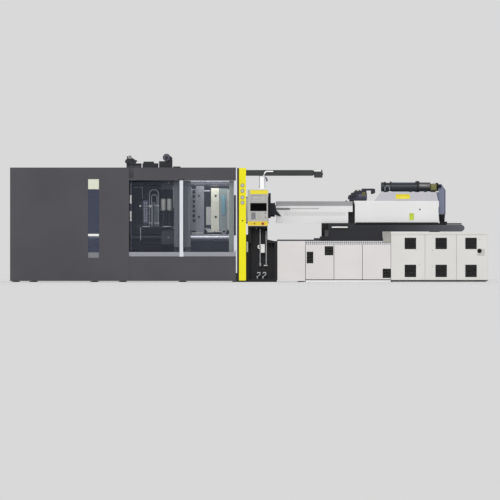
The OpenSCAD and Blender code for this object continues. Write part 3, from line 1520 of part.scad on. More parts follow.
/* Column at the rear end: elbow, tapering duct, lower pipe and its foot on the carriage. */
module drive_column() {
    x0 = drive_x1 + 12;
    y = [top_y - 66, top_y + 66];
    zt = top_z - 60;
    color("slategray") {
        turned_x(top_y, top_z, [[0, hood_x[1] - 56], [top_d / 2 - 20, hood_x[1] - 56], [top_d / 2 - 20, x0 - 14], [0, x0 - 14]]);
        prism_y(y, [[x0 - 15, zt], [x0 - 15, top_z + 58], [x0 + 50, top_z + 58], [x0 + 130, top_z - 60], [x0 + 130, deck_z + 176],
            [x0, deck_z + 176], [x0, drive_top + 6], [x0 - 8, drive_top + 6], [x0 - 8, zt - 30]]);
        bar_z([deck_z + 26, deck_z + 177], x0 + 52, top_y, 94);
        block([x0 + 16, x0 + 160], [top_y - 70, top_y + 70], [deck_z, deck_z + 27]);
        // Flange to the housing.
        block([drive_x1, x0 + 1], [top_y - 50, top_y + 50], [deck_z + 200, deck_z + 320]);
    }
}

clamp_bed();
levelling_pads();
fixed_platen();
tie_bars();
traverse_barrels();
front_clamp_cover();
rear_clamp_cover();
end_cover();
roof_cover();
roof_hydraulics();
fixed_windows();
gate_surround();
gate_tracks();
closing_profiles();
pillars();
pillar_faces();
services_block();
water_pipes();
cable_boom();
panel_post();
purge_guard();
purge_door();
injection_bed();
service_covers();
tread_strip();
cabinet_body();
cabinet_door_1();
cabinet_door_2();
cabinet_door_3();
main_switch();
pump_unit();
mould_fixed_half();
moving_platen();
nut_housings();
lock_nuts_front();
lock_nuts_rear();
ejector_cylinder();
ejector_rod();
platen_hydraulics();
mould_moving_half();
traverse_rods();
front_gate();
front_gate_pane();
rear_gate();
rear_gate_pane();
carriage_frame();
barrel();
heater_bands();
barrel_cover();
feed_throat();
drive_housing();
drive_hood();
top_cylinder();
drive_column();
thrust_block();
screw();
panel_housing();
panel_screen();
emergency_stop();
start_button();
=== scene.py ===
# %% [markdown]
# # An injection moulding machine
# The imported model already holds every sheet, casting and shaft of the machine. This lesson dresses it: each part
# gets the finish of the real one, and the small things that a maker buys in, such as grilles, keys, seals and
# valves, are modelled on top. X runs along the machine, Z is up, and the operator stands at -Y.

# %% Load the machine
import math
import bmesh
import bpy
from mathutils import Matrix, Vector


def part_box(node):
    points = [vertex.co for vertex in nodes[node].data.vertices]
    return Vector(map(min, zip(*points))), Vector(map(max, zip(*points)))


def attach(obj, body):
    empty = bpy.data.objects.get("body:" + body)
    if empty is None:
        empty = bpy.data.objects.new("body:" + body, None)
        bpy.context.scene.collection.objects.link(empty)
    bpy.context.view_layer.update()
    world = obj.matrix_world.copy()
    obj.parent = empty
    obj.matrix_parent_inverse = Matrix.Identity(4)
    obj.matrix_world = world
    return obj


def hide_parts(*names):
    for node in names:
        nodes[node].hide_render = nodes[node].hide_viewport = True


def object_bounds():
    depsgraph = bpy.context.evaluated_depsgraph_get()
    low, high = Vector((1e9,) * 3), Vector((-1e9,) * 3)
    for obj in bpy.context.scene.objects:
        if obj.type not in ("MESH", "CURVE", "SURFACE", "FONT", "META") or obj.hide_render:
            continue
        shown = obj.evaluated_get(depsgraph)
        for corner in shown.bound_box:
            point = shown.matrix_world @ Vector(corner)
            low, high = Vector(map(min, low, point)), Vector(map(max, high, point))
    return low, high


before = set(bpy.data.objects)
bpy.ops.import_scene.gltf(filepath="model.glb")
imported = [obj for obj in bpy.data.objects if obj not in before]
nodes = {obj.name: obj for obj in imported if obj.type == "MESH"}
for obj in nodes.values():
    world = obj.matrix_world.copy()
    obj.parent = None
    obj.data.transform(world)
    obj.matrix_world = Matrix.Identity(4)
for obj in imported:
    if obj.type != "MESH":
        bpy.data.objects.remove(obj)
cad_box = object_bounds()
bpy.ops.object.select_all(action="DESELECT")
print("machine:", len(nodes), "parts,", [round(b - a, 2) for a, b in zip(*cad_box)], "m")

# %% [markdown]
# ## Modelling tools
# A piece starts as a block or a drum at its real size and place, is shaped in edit mode, and is finished with
# modifiers. Sizes are given in millimetres, as on the machine's drawings, so the tools turn them into metres.

# %% Blocks and drums
MM = 1000  # millimetres in a metre


def only(piece):
    """Object mode with this piece alone selected, because an operator acts on all that is selected."""
    if bpy.context.object and bpy.context.object.mode != "OBJECT":
        bpy.ops.object.mode_set(mode="OBJECT")
    bpy.ops.object.select_all(action="DESELECT")
    piece.select_set(True)
    bpy.context.view_layer.objects.active = piece


def settled(name):
    piece = bpy.context.object
    piece.name = name
    only(piece)
    bpy.ops.object.transform_apply(location=True, rotation=True, scale=True)
    return piece


def new_block(name, x, y, z):
    low, high = Vector([r[0] for r in (x, y, z)]) / MM, Vector([r[1] for r in (x, y, z)]) / MM
    bpy.ops.mesh.primitive_cube_add(size=1, location=(low + high) / 2, scale=high - low)
    return settled(name)


def new_drum(name, axis, centre, diameter, length, sides=32, tip=None):
    """A drum centred on centre. With a tip diameter it tapers towards +X, -Y or +Z."""
    turn = {"X": (0, math.pi / 2, 0), "Y": (math.pi / 2, 0, 0), "Z": (0, 0, 0)}[axis]
    bpy.ops.mesh.primitive_cone_add(vertices=sides, radius1=diameter / (2 * MM), depth=length / MM, rotation=turn,
                                    radius2=(diameter if tip is None else tip) / (2 * MM), location=Vector(centre) / MM)
    return settled(name)


def try_out(piece):
    """Prints what a tool makes, and clears it away again."""
    print("a", piece.name, "has", len(piece.data.polygons), "faces")
    bpy.data.objects.remove(piece)


try_out(new_block("block", (0, 10), (0, 10), (0, 10)))
try_out(new_drum("drum", "X", (0, 0, 0), 10, 10))

# %% [markdown]
# By hand one would click the faces to work on. A script has to find them again each time it runs, so it picks them
# by where they lie and which way they point. An inset draws a smaller face inside a picked one, and raising or
# sinking it gives the rims and recesses that most small parts show.

# %% Selections and insets
FLAT = 0.9  # a face lies across an axis when this much of its normal points along it


def select(piece, test):
    """Edit mode, with those faces selected whose centre and normal pass the test."""
    only(piece)
    bpy.ops.object.mode_set(mode="EDIT")
    bpy.ops.mesh.select_mode(type="FACE")
    bpy.ops.mesh.select_all(action="DESELECT")
    cage = bmesh.from_edit_mesh(piece.data)
    for face in cage.faces:
        face.select_set(bool(test(face.calc_center_median() * MM, face.normal)))
    bmesh.update_edit_mesh(piece.data)


def inset(piece, test, width, depth=0.0):
    """Insets the faces that pass the test, and raises them by depth, or sinks them where it is negative."""
    select(piece, test)
    bpy.ops.mesh.inset(thickness=width / MM, depth=depth / MM)
    bpy.ops.object.mode_set(mode="OBJECT")
    return piece


def is_front(centre, normal):
    return normal.y < -FLAT


try_out(inset(new_block("sunk_block", (0, 10), (0, 10), (0, 10)), is_front, 2, -1))

# %% [markdown]
# Nothing on a machine is left sharp: sheet is folded round a radius and turned parts are chamfered. A bevel on the
# edges gives both, and it catches a line of light as the real edge does.

# %% Broken edges
SHARP, SMOOTH = math.radians(30), math.radians(35)  # an edge that turns further is bevelled, or keeps its crease


def soften(piece, width, segments=2):
    """Rounds every edge that turns further than SHARP."""
    only(piece)
    bevel = piece.modifiers.new("edges", "BEVEL")
    bevel.width, bevel.segments = width / MM, segments
    bevel.limit_method, bevel.angle_limit = "ANGLE", SHARP
    bpy.ops.object.modifier_apply(modifier=bevel.name)
    bpy.ops.object.shade_smooth_by_angle(angle=SMOOTH)
    return piece


try_out(soften(new_block("softened_block", (0, 10), (0, 10), (0, 10)), 1))

# %% [markdown]
# What repeats, such as keys, fins and nuts, is modelled once. An array sets it in a row, and a copy with its own
# mesh goes further away. The parts of one piece are joined at the end, so that it is one object.

# %% Rows, copies and joining
def row(piece, count, step):
    """Repeats a piece count times, each copy moved on by step."""
    only(piece)
    array = piece.modifiers.new("row", "ARRAY")
    array.use_relative_offset, array.use_constant_offset = False, True
    array.count, array.constant_offset_displace = count, Vector(step) / MM
    bpy.ops.object.modifier_apply(modifier=array.name)
    return piece


def copied(piece, name, offset):
    twin = piece.copy()
    twin.data = piece.data.copy()
    twin.name = name
    bpy.context.scene.collection.objects.link(twin)
    twin.data.transform(Matrix.Translation(Vector(offset) / MM))
    return twin


def joined(name, pieces):
    only(pieces[0])
    for piece in pieces[1:]:
        piece.select_set(True)
    if len(pieces) > 1:
        bpy.ops.object.join()
    pieces[0].name = name
    return pieces[0]


try_out(row(new_block("row_of_three", (0, 10), (0, 10), (0, 10)), 3, (20, 0, 0)))

# %% [markdown]
# A frame is a block whose front and back are inset and bridged. Cutting a hole with another block would do as well,
# but a bridge leaves clean faces that can be bevelled.

# %% Frames
def face_out():
    """Turns every face outwards and leaves edit mode."""
    bpy.ops.mesh.select_all(action="SELECT")
    bpy.ops.mesh.normals_make_consistent(inside=False)
    bpy.ops.object.mode_set(mode="OBJECT")


def drill(piece, test, width):
    """Insets two opposite faces by the width and bridges the insets, which leaves a hole through the piece."""
    select(piece, test)
    bpy.ops.mesh.inset(thickness=width / MM)
    bpy.ops.mesh.bridge_edge_loops()
    face_out()
    return piece


def new_frame(name, x, y, z, width):
    """A frame that lies in the XZ plane."""
    return drill(new_block(name, x, y, z), lambda centre, normal: abs(normal.y) > FLAT, width)


try_out(new_frame("frame", (0, 10), (0, 10), (0, 10), 2))

# %% [markdown]
# A pipe bend is a disc that is spun about the bend's centre. A curve with a round section gives the same shape, but
# a spun disc keeps its ends closed and joins straight legs exactly.

# %% Bends
def new_bend(name, centre, bend, diameter, start, sweep, steps=10):
    """A pipe bend in the XZ plane about centre. Its angles start and sweep are measured from +X towards +Z."""
    middle = Vector(centre) / MM
    arm = Vector((math.cos(math.radians(start)), 0, math.sin(math.radians(start)))) * bend / MM
    bpy.ops.mesh.primitive_circle_add(vertices=16, radius=diameter / (2 * MM), fill_type="NGON", location=middle + arm,
                                      rotation=(0, -math.radians(start), 0))
    piece = settled(name)
    bpy.ops.object.mode_set(mode="EDIT")
    bpy.ops.mesh.select_all(action="SELECT")
    bpy.ops.mesh.spin(steps=steps, angle=math.radians(sweep), center=middle, axis=(0, 1, 0))
    face_out()
    bpy.ops.object.shade_smooth_by_angle(angle=math.radians(50))
    return piece


try_out(new_bend("bend", (0, 0, 0), 20, 10, 0, 90))

# %% [markdown]
# Three short forms follow from these: a ring is a drum with a hole through it, and a bar and a plate are a drum and
# a block with broken edges. Faces can also be moved to stretch a form.

# %% Rings, bars, plates and stretching
def new_ring(name, axis, centre, diameter, length, width, tip=None):
    piece = new_drum(name, axis, centre, diameter, length, 40, tip)
    drill(piece, lambda place, normal: abs(normal["XYZ".index(axis)]) > FLAT, width)
    return soften(piece, min(1.0, width / 5))


def bar(name, axis, centre, diameter, length, edge=1.0, sides=20, tip=None):
    return soften(new_drum(name, axis, centre, diameter, length, sides, tip), edge)


def plate(name, x, y, z, edge=0.8):
    return soften(new_block(name, x, y, z), edge)


def stretch(piece, test, x=0, y=0, z=0):
    """Moves the faces that pass the test, and what they are joined to follows."""
    select(piece, test)
    bpy.ops.transform.translate(value=Vector((x, y, z)) / MM)
    bpy.ops.object.mode_set(mode="OBJECT")
    return piece


try_out(new_ring("ring", "Y", (0, 0, 0), 20, 5, 4))

# %% [markdown]
# Every piece ends in the same way. It takes its material and rides on a body of the machine so that it moves with it. A
# tally then counts what each cell has finished.

# %% Finishing a piece
made, counted = [], []


def finish(piece, body, material):
    only(piece)
    piece.data.materials.clear()
    piece.data.materials.append(material)
    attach(piece, body)
    made.append(piece)
    return piece


def tally(title):
    print(title, "pieces:", len(made) - len(counted))
    counted.extend(made[len(counted):])


def edges(node):
    """A part's lowest and highest x, y and z in millimetres."""
    low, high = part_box(node)
    return [(low[i] * MM, high[i] * MM) for i in range(3)]


print("the clamp bed reaches from x", [round(x) for x in edges("clamp_bed")[0]], "mm")

# %% [markdown]
# ## Tools for finishes
# Colours are written as they look on screen, in sRGB hex, so one function turns them linear. Another adds a node
# with its settings and links. Each finish below is a short chain of such nodes on the object's own coordinates.
# Sockets are named, or numbered where names repeat: a Mix node takes the amount at 0 and two colours at 6 and 7 and
# gives the blend at 2, and a Map Range turns the value at 0 from the range 1 to 2 into the range 3 to 4.

# %% Colours and nodes
GRAIN = 0.5  # a noise of scale 1 has grains about half a metre wide
LOW, HIGH = 0.3, 0.7  # most values of a noise lie between these


def linear(code):
    parts = [int(code[i:i + 2], 16) / 255 for i in (1, 3, 5)]
    return [c / 12.92 if c <= 0.04045 else ((c + 0.055) / 1.055) ** 2.4 for c in parts] + [1.0]


def add(owner, kind, inputs=None, out=0, **settings):
    """Adds a node. inputs gives each socket a value, or another node's output to link. out is the output returned."""
    tree = owner.node_tree
    node = tree.nodes.new(kind)
    for key, value in settings.items():
        setattr(node, key, value)
    for socket, value in (inputs or {}).items():
        if isinstance(value, bpy.types.NodeSocket):
            tree.links.new(value, node.inputs[socket])
        else:
            node.inputs[socket].default_value = value
    return node.outputs[out] if len(node.outputs) else node


def blank(name):
    material = bpy.data.materials.new(name)
    material.use_nodes = True
    material.node_tree.nodes.clear()
    coordinates = material.node_tree.nodes.new("ShaderNodeTexCoord")
    return material, coordinates.outputs["Object"]


print("mid grey in linear light:", round(linear("#808080")[0], 3))

# %% [markdown]
# ## Paint
# Guards and frames are powder coated: the powder melts to an even colour, half matt, with an orange peel of a few
# millimetres. The peel is drawn 12 mm wide, so that it shows at all on a machine of nine metres, and a slow drift
# between two near shades keeps the big sheets from looking printed. Wet paint is smoother and gleams more.

# %% Powder coat and wet paint
PEEL = 0.012


def paint(name, colour, drift, roughness=0.42, peel=PEEL):
    material, place = blank(name)
    slow = add(material, "ShaderNodeTexNoise", {"Vector": place, "Scale": 1.1, "Detail": 2.0})
    fine = add(material, "ShaderNodeTexNoise", {"Vector": place, "Scale": GRAIN / peel, "Detail": 2.0})
    amount = add(material, "ShaderNodeMapRange", {0: slow, 1: 0.35, 2: 0.65, 3: 0.0, 4: 1.0})
    gloss = add(material, "ShaderNodeMapRange", {0: fine, 1: LOW, 2: HIGH, 3: roughness - 0.05, 4: roughness + 0.06})
    tone = add(material, "ShaderNodeMix", {0: amount, 6: linear(colour), 7: linear(drift)}, 2, data_type="RGBA")
    bump = add(material, "ShaderNodeBump", {"Height": fine, "Strength": 0.3, "Distance": 0.0004})
    surface = add(material, "ShaderNodeBsdfPrincipled", {"Base Color": tone, "Roughness": gloss,
                                                         "Specular IOR Level": 0.3, "Normal": bump})
    add(material, "ShaderNodeOutputMaterial", {"Surface": surface})
    return material


print("orange peel:", round(PEEL * MM), "mm")

# %% [markdown]
# Guards are a warm dark grey, covers and cabinet a light grey, and the frames under them nearly black. The hydraulic
# parts get a wet paint that is darker where oil has reached it, so its two shades are further apart. All paints are
# kept in one table, so that a shade can be matched in one place.

# %% The machine's paints
PAINT = {
    "guard": paint("powder coat dark grey", "#4b4a4f", "#46454a", 0.45),
    # The seam grey is painted shade, for the strips where the clamp cover stands proud of the header.
    "seam": paint("powder coat, painted seam shade", "#3a383f", "#37353c", 0.45),
    "light": paint("powder coat light grey", "#dedbda", "#d8d5d4", 0.4),
    "cabinet": paint("powder coat pebble grey", "#dbdad6", "#d6d5d2", 0.42),
    "white": paint("powder coat white", "#e8e8e8", "#e3e3e4", 0.35),
    "pure white": paint("powder coat pure white", "#ffffff", "#fbfbfb", 0.35),
    "yellow": paint("powder coat sulphur yellow", "#f2e800", "#ece100", 0.38),
    "black": paint("powder coat jet black", "#17181c", "#121317", 0.5),
    "boom": paint("powder coat iron grey", "#37393a", "#323435", 0.45),
    "hood": paint("powder coat silver grey", "#c4c2c9", "#bebcc3", 0.38),
    "slate": paint("wet paint slate", "#2f343a", "#292e34", 0.3),
    "hydraulic": paint("wet paint oily grey", "#303138", "#26272c", 0.32, 0.03),
    "violet": paint("wet paint violet grey", "#5b5b72", "#4f4f63", 0.35),
    "bed": paint("wet paint machine grey", "#4a4c52", "#43454b", 0.4, 0.02),
    "junction": paint("powder coat stone grey", "#9f9e98", "#999892", 0.4),
}
print("paints:", len(PAINT))

# %% [markdown]
# ## Metal
# Ground and drawn metal has fine lines along the way it was worked, so its noise is stretched along that axis. The
# real lines are a tenth of a millimetre apart, and are drawn 4 mm apart to show.

# %% Worked metal
LINE = 0.004


def worked_metal(name, colour, drift, roughness, along="X", line=LINE, metallic=0.6):
    material, place = blank(name)
    squeeze = [0.02 if axis == along else 1.0 for axis in "XYZ"]
    drawn = add(material, "ShaderNodeMapping", {"Vector": place, "Scale": squeeze})
    lines = add(material, "ShaderNodeTexNoise", {"Vector": drawn, "Scale": GRAIN / line, "Detail": 3.0})
    gloss = add(material, "ShaderNodeMapRange", {0: lines, 1: LOW, 2: HIGH, 3: roughness - 0.06, 4: roughness + 0.08})
    tone = add(material, "ShaderNodeMix", {0: lines, 6: linear(colour), 7: linear(drift)}, 2, data_type="RGBA")
    bump = add(material, "ShaderNodeBump", {"Height": lines, "Strength": 0.2, "Distance": 0.0002})
    surface = add(material, "ShaderNodeBsdfPrincipled", {"Base Color": tone, "Metallic": metallic,
                                                         "Roughness": gloss, "Normal": bump})
    add(material, "ShaderNodeOutputMaterial", {"Surface": surface})
    return material


print("drawn lines:", round(LINE * MM), "mm")

# %% [markdown]
# The platens are iron castings under a thin coat of paint. Sand leaves shallow pits all over them, which are drawn
# 2 cm wide, as the real ones of 2 mm wouldn't show.

# %% Castings
PIT_SCALE = 26.0


def casting(name, colour, drift):
    material, place = blank(name)
    pits = add(material, "ShaderNodeTexNoise", {"Vector": place, "Scale": PIT_SCALE, "Detail": 5.0})
    gloss = add(material, "ShaderNodeMapRange", {0: pits, 1: LOW, 2: HIGH, 3: 0.4, 4: 0.55})
    tone = add(material, "ShaderNodeMix", {0: pits, 6: linear(colour), 7: linear(drift)}, 2, data_type="RGBA")
    bump = add(material, "ShaderNodeBump", {"Height": pits, "Strength": 0.4, "Distance": 0.002})
    surface = add(material, "ShaderNodeBsdfPrincipled", {"Base Color": tone, "Roughness": gloss, "Normal": bump})
    add(material, "ShaderNodeOutputMaterial", {"Surface": surface})
    return material


print("pits:", round(MM * GRAIN / PIT_SCALE), "mm")

# %% [markdown]
# Chrome is bright and cold, anodised aluminium dull, and a nitrided barrel brownish. Metallic stays below 1, because
# a plain grey studio gives a full metal little to mirror and would leave it dark.

# %% The machine's metals
METAL = {
    "chrome": worked_metal("hard chromed steel", "#dcdde6", "#cfd0da", 0.2),
    "anodised": worked_metal("anodised aluminium", "#9a9ba3", "#8d8e96", 0.4, metallic=0.3),
    "profile": worked_metal("coated aluminium", "#dfe1e8", "#d6d8df", 0.36, "Z", metallic=0.1),
    "dark mould": worked_metal("mould steel nitrided", "#9c9da6", "#8e8f97", 0.42, "Y", 0.02, 0.1),
    "hard": worked_metal("hardened steel", "#a5a49b", "#97968e", 0.38, "Y"),
    "barrel": worked_metal("nitrided steel", "#7d7f84", "#6f6a66", 0.38, metallic=0.7),
    "bright": worked_metal("bright sheet steel", "#bfc1c3", "#b0b2b5", 0.32, "Z", metallic=0.4),
    "zinc": worked_metal("zinc plated steel", "#b3b4b2", "#a2a3a0", 0.42, "Z", metallic=0.4),
    "fixed casting": casting("painted casting sage", "#b2bcb7", "#a6b0ac"),
    "moving casting": casting("painted casting iron", "#6b6e75", "#60636a"),
}
print("metals:", len(METAL))

# %% [markdown]
# ## Plastics and rubber
# Keys, grilles and housings are moulded in a tool with a spark-eroded face, which leaves a fine matt texture. It is
# drawn 4 mm wide, as the real one of a tenth of a millimetre wouldn't show. Printed films are smoother, rubber is
# rougher, and the screen's cover glass is even and black.

# %% Plastics, films and rubber
SPARK = 0.004


def moulded(name, colour, roughness=0.5, texture=SPARK, depth=0.0002, shine=0.3):
    material, place = blank(name)
    fine = add(material, "ShaderNodeTexNoise", {"Vector": place, "Scale": GRAIN / texture, "Detail": 2.0})
    darker = [c * 0.9 for c in linear(colour)[:3]] + [1.0]
    tone = add(material, "ShaderNodeMix", {0: fine, 6: linear(colour), 7: darker}, 2, data_type="RGBA")
    bump = add(material, "ShaderNodeBump", {"Height": fine, "Strength": 0.25, "Distance": depth})
    surface = add(material, "ShaderNodeBsdfPrincipled", {"Base Color": tone, "Roughness": roughness,
                                                         "Specular IOR Level": shine, "Normal": bump})
    add(material, "ShaderNodeOutputMaterial", {"Surface": surface})
    return material


print("spark texture:", round(SPARK * MM), "mm")

# %% [markdown]
# Keys and housings are greys near one another, so that they read as one panel. Films and knobs carry the few strong
# colours, and everything that seals is black rubber.

# %% The machine's plastics
PLASTIC = {
    "panel": moulded("ABS light grey", "#b9b8b5", 0.5),
    "black": moulded("polyamide black", "#0a0a0c", 0.55, shine=0.2),
    "red": moulded("polycarbonate red", "#b0281c", 0.3),
    "yellow": moulded("polyester film yellow", "#efdf38", 0.35),
    "amber": moulded("polyester film amber", "#e8cb3a", 0.35),
    "slot": moulded("glass fibre blanket", "#d9d9d6", 0.8),
    "pale": moulded("ABS white", "#f4f4f2", 0.4),
    "key": moulded("silicone key grey", "#7f8186", 0.6),
    "field": moulded("polyester film grey", "#c4c3bf", 0.4),
    "rubber": moulded("EPDM rubber", "#121316", 0.7, 0.006, 0.0004),
    "teal": moulded("polyurethane teal", "#86b9cb", 0.4),
    "olive": moulded("enamel olive", "#77764a", 0.35, 0.02),
    "lime": moulded("polyester film lime", "#c6d63e", 0.4),
    "cream": moulded("polyester film cream", "#dfe2cf", 0.4),
    "hose": moulded("hydraulic hose rubber", "#858993", 0.5, 0.006, 0.0005),
    "screen": moulded("cover glass black", "#020203", 0.3, 0.2, 0.0, 0.05),
}
print("plastics:", len(PLASTIC))

# %% [markdown]
# ## Panes
# The panes are polycarbonate. A real refracting solid would keep the light from the mould, so a pane lets most light
# straight through and keeps a glossy face. The narrow port in the clamp cover is tinted dark blue, with a higher alpha:
# painted shade, standing for the dark inside of the machine behind it. Window and port are one part of the machine, and
# a comparison of X tells them apart.

# %% Clear panes with a port in painted shade
PORT_SHADE_EDGE = -2.9  # metres along X: a pane left of this is tinted dark, as painted shade
CLEAR, GATE, PORT_SHADE = (0.11, "#646a79"), (0.15, "#6a7080"), (0.45, "#565c70")  # alpha and colour


def glazed(name, clear, port_shade=None):
    material, place = blank(name)
    cover, tone = clear[0], linear(clear[1])
    if port_shade:
        along = add(material, "ShaderNodeSeparateXYZ", {0: place})
        port = add(material, "ShaderNodeMath", {0: along, 1: PORT_SHADE_EDGE}, operation="LESS_THAN")
        cover = add(material, "ShaderNodeMapRange", {0: port, 1: 0.0, 2: 1.0, 3: cover, 4: port_shade[0]})
        tone = add(material, "ShaderNodeMix", {0: port, 6: tone, 7: linear(port_shade[1])}, 2, data_type="RGBA")
    swirl = add(material, "ShaderNodeTexNoise", {"Vector": place, "Scale": 1.3, "Detail": 1.0})
    gloss = add(material, "ShaderNodeMapRange", {0: swirl, 1: LOW, 2: HIGH, 3: 0.06, 4: 0.12})
    surface = add(material, "ShaderNodeBsdfPrincipled", {"Base Color": tone, "Roughness": gloss, "Alpha": cover,
                                                         "IOR": 1.58, "Specular IOR Level": 0.15})
    add(material, "ShaderNodeOutputMaterial", {"Surface": surface})
    return material


window = glazed("polycarbonate window", CLEAR, PORT_SHADE)
pane = glazed("polycarbonate gate pane", GATE)
print("pane alpha: window", CLEAR[0], "gate", GATE[0], "port", PORT_SHADE[0])

# %% [markdown]
# ## Finishes that change along the part
# Some parts are sprayed in two colours or joined from two materials: the mould's fixed half is polished at its parting
# face. The barrel cover is darker above its fold, the carriage grows lighter towards its right end, and the column is
# near black along its right edge. Other steps are painted light and shade: the tie bars are painted dark on the stretch
# that lies in shade behind the moving platen and pale on the stretch that is lit behind the port, and the purge guard's
# end is painted light where the pillar's shadow falls. A colour ramp over one coordinate in millimetres does this, with
# hard steps or as a slow fade.

# %% Zoned finishes
def zoned(name, axis, stops, blend="CONSTANT", roughness=0.4, peel=PEEL, metallic=0.0):
    """stops gives pairs of millimetres and colour. Each colour holds from there on, or fades to the next."""
    material, place = blank(name)
    split = add(material, "ShaderNodeSeparateXYZ", {0: place}, "XYZ".index(axis))
    first, last = stops[0][0], stops[-1][0]
    reach = add(material, "ShaderNodeMapRange", {0: split, 1: first / MM, 2: last / MM, 3: 0.0, 4: 1.0})
    ramp = material.node_tree.nodes.new("ShaderNodeValToRGB")
    ramp.color_ramp.interpolation = blend
    material.node_tree.links.new(reach, ramp.inputs[0])
    for element, (at, code) in zip(ramp.color_ramp.elements, (stops[0], stops[-1])):
        element.color = linear(code)
    for at, code in stops[1:-1]:
        ramp.color_ramp.elements.new((at - first) / (last - first)).color = linear(code)
    fine = add(material, "ShaderNodeTexNoise", {"Vector": place, "Scale": GRAIN / peel, "Detail": 2.0})
    gloss = add(material, "ShaderNodeMapRange", {0: fine, 1: LOW, 2: HIGH, 3: roughness - 0.05, 4: roughness + 0.06})
    bump = add(material, "ShaderNodeBump", {"Height": fine, "Strength": 0.3, "Distance": 0.0004})
    surface = add(material, "ShaderNodeBsdfPrincipled", {"Base Color": ramp.outputs[0], "Roughness": gloss,
                                                         "Specular IOR Level": 0.3, "Metallic": metallic,
                                                         "Normal": bump})
    add(material, "ShaderNodeOutputMaterial", {"Surface": surface})
    return material


print("zones run from", round(edges("tie_bars")[0][0]), "mm on the tie bars")

# %% [markdown]
# The steps are placed by the parts themselves where they follow an edge, such as the mould's parting face and the
# fold of the barrel cover.

# %% The machine's zoned finishes
parting = edges("mould_fixed_half")[0][0] + 100
fold = edges("barrel_cover")[2][1] - 94
ZONED = {
    "barrel cover": zoned("powder coat grey, darker above the fold", "Z", [(1000, "#e6e6e7"), (fold, "#9a9a9c")]),
    "fixed mould": zoned("mould steel polished", "X", [(-900, "#d5d6d2"), (parting, "#fbfbea"),
                                                       (parting + 159, "#a3aead"), (parting + 328, "#dcdcd6")],
                         roughness=0.45),
    # The tie bars are painted dark from x = -2440 mm, where they lie in shade behind the moving platen, and pale from
    # -3400 mm, where they are lit behind the port: painted shade and painted light.
    "bars in painted light and shade": zoned("hard chromed steel, painted light and shade", "X", [(-4700, "#5c5e68"), (-3400, "#b9bac4"),
                                                               (-2440, "#1d1e23"), (-1500, "#b6b7c0")],
                          roughness=0.22, peel=0.05, metallic=0.8),
    "loader": zoned("wet paint black and violet", "Z", [(1100, "#17181c"), (1634, "#33323f"), (1760, "#2a2a35")]),
    # The purge guard's end, left of x = -22 mm, is near white: painted light where the pillar's shadow falls on it.
    "purge guard": zoned("powder coat grey and black, painted light at the end", "X", [(-200, "#fbfbfb"), (-22, "#d8d8d8"), (370, "#141722")]),
    "carriage": zoned("wet paint blue black", "X", [(1400, "#1e1f25"), (2700, "#24252b"), (3300, "#33353c"),
                                                    (4300, "#55575e")], "LINEAR"),
    "column": zoned("wet paint pigeon blue", "X", [(3700, "#757990"), (3800, "#757990"), (3922, "#202127")]),
}
print("zoned finishes:", len(ZONED), "the barrel cover folds at", round(fold), "mm")

# %% [markdown]
# ## Chequer plate
# The step in front of the barrel is chequer plate: rolled aluminium with short raised bars that lean both ways. A
# checker of squares turned by 45 degrees stands for them, 30 mm wide where the real bars are 28 mm apart.

# %% Turned checker
CHECK = 0.03
tread, place = blank("chequer plate")
turned = add(tread, "ShaderNodeMapping", {"Vector": place, "Rotation": (0, math.radians(45), 0)})
bars = tread.node_tree.nodes.new("ShaderNodeTexChecker")
bars.inputs["Scale"].default_value = 1 / CHECK
bars.inputs["Color1"].default_value = linear("#d2d1d4")
bars.inputs["Color2"].default_value = linear("#828287")
tread.node_tree.links.new(turned, bars.inputs["Vector"])
bump = add(tread, "ShaderNodeBump", {"Height": bars.outputs["Fac"], "Strength": 0.5, "Distance": 0.002})
surface = add(tread, "ShaderNodeBsdfPrincipled", {"Base Color": bars.outputs["Color"], "Roughness": 0.38,
                                                  "Metallic": 0.3, "Normal": bump})
add(tread, "ShaderNodeOutputMaterial", {"Surface": surface})
print("chequer pitch:", round(CHECK * MM), "mm")

# %% [markdown]
# ## Dress the machine's own parts
# Parts whose shape is right keep their mesh and only take a material, guards and covers first.

# %% Guards, covers and cabinet
def dress(material, names):
    for name in names.split():
        nodes[name].data.materials.clear()
        nodes[name].data.materials.append(material)
        dressed.append(name)


dressed = []
dress(PAINT["guard"], "front_clamp_cover rear_clamp_cover end_cover roof_cover gate_surround rear_gate_pane")
dress(PAINT["yellow"], "pillar_faces")
dress(PAINT["black"], "pillars services_block")
dress(PAINT["light"], "service_covers")
dress(PAINT["cabinet"], "cabinet_body cabinet_door_1 cabinet_door_2 cabinet_door_3")
dress(METAL["anodised"], "gate_tracks")
dress(METAL["profile"], "closing_profiles front_gate rear_gate")
dress(pane, "front_gate_pane")
dress(window, "fixed_windows")
dress(tread, "tread_strip")
print("guards and covers:", len(dressed))

# %% [markdown]
# The clamp is what the operator sees through the panes, so its castings, bars and mould each get their own metal.

# %% Clamp and mould
dress(PAINT["hydraulic"], "traverse_barrels roof_hydraulics platen_hydraulics ejector_cylinder nut_housings")
dress(PAINT["bed"], "clamp_bed")
dress(METAL["chrome"], "ejector_rod")
dress(ZONED["bars in painted light and shade"], "tie_bars traverse_rods")
dress(METAL["hard"], "lock_nuts_front lock_nuts_rear")
dress(METAL["zinc"], "levelling_pads")
dress(METAL["fixed casting"], "fixed_platen")
dress(METAL["moving casting"], "moving_platen")
dress(METAL["dark mould"], "mould_moving_half")
dress(ZONED["fixed mould"], "mould_fixed_half")
print("with the clamp:", len(dressed))

# %% [markdown]
# On the injection side light housings stand on a dark carriage. The panel has four parts of its own.

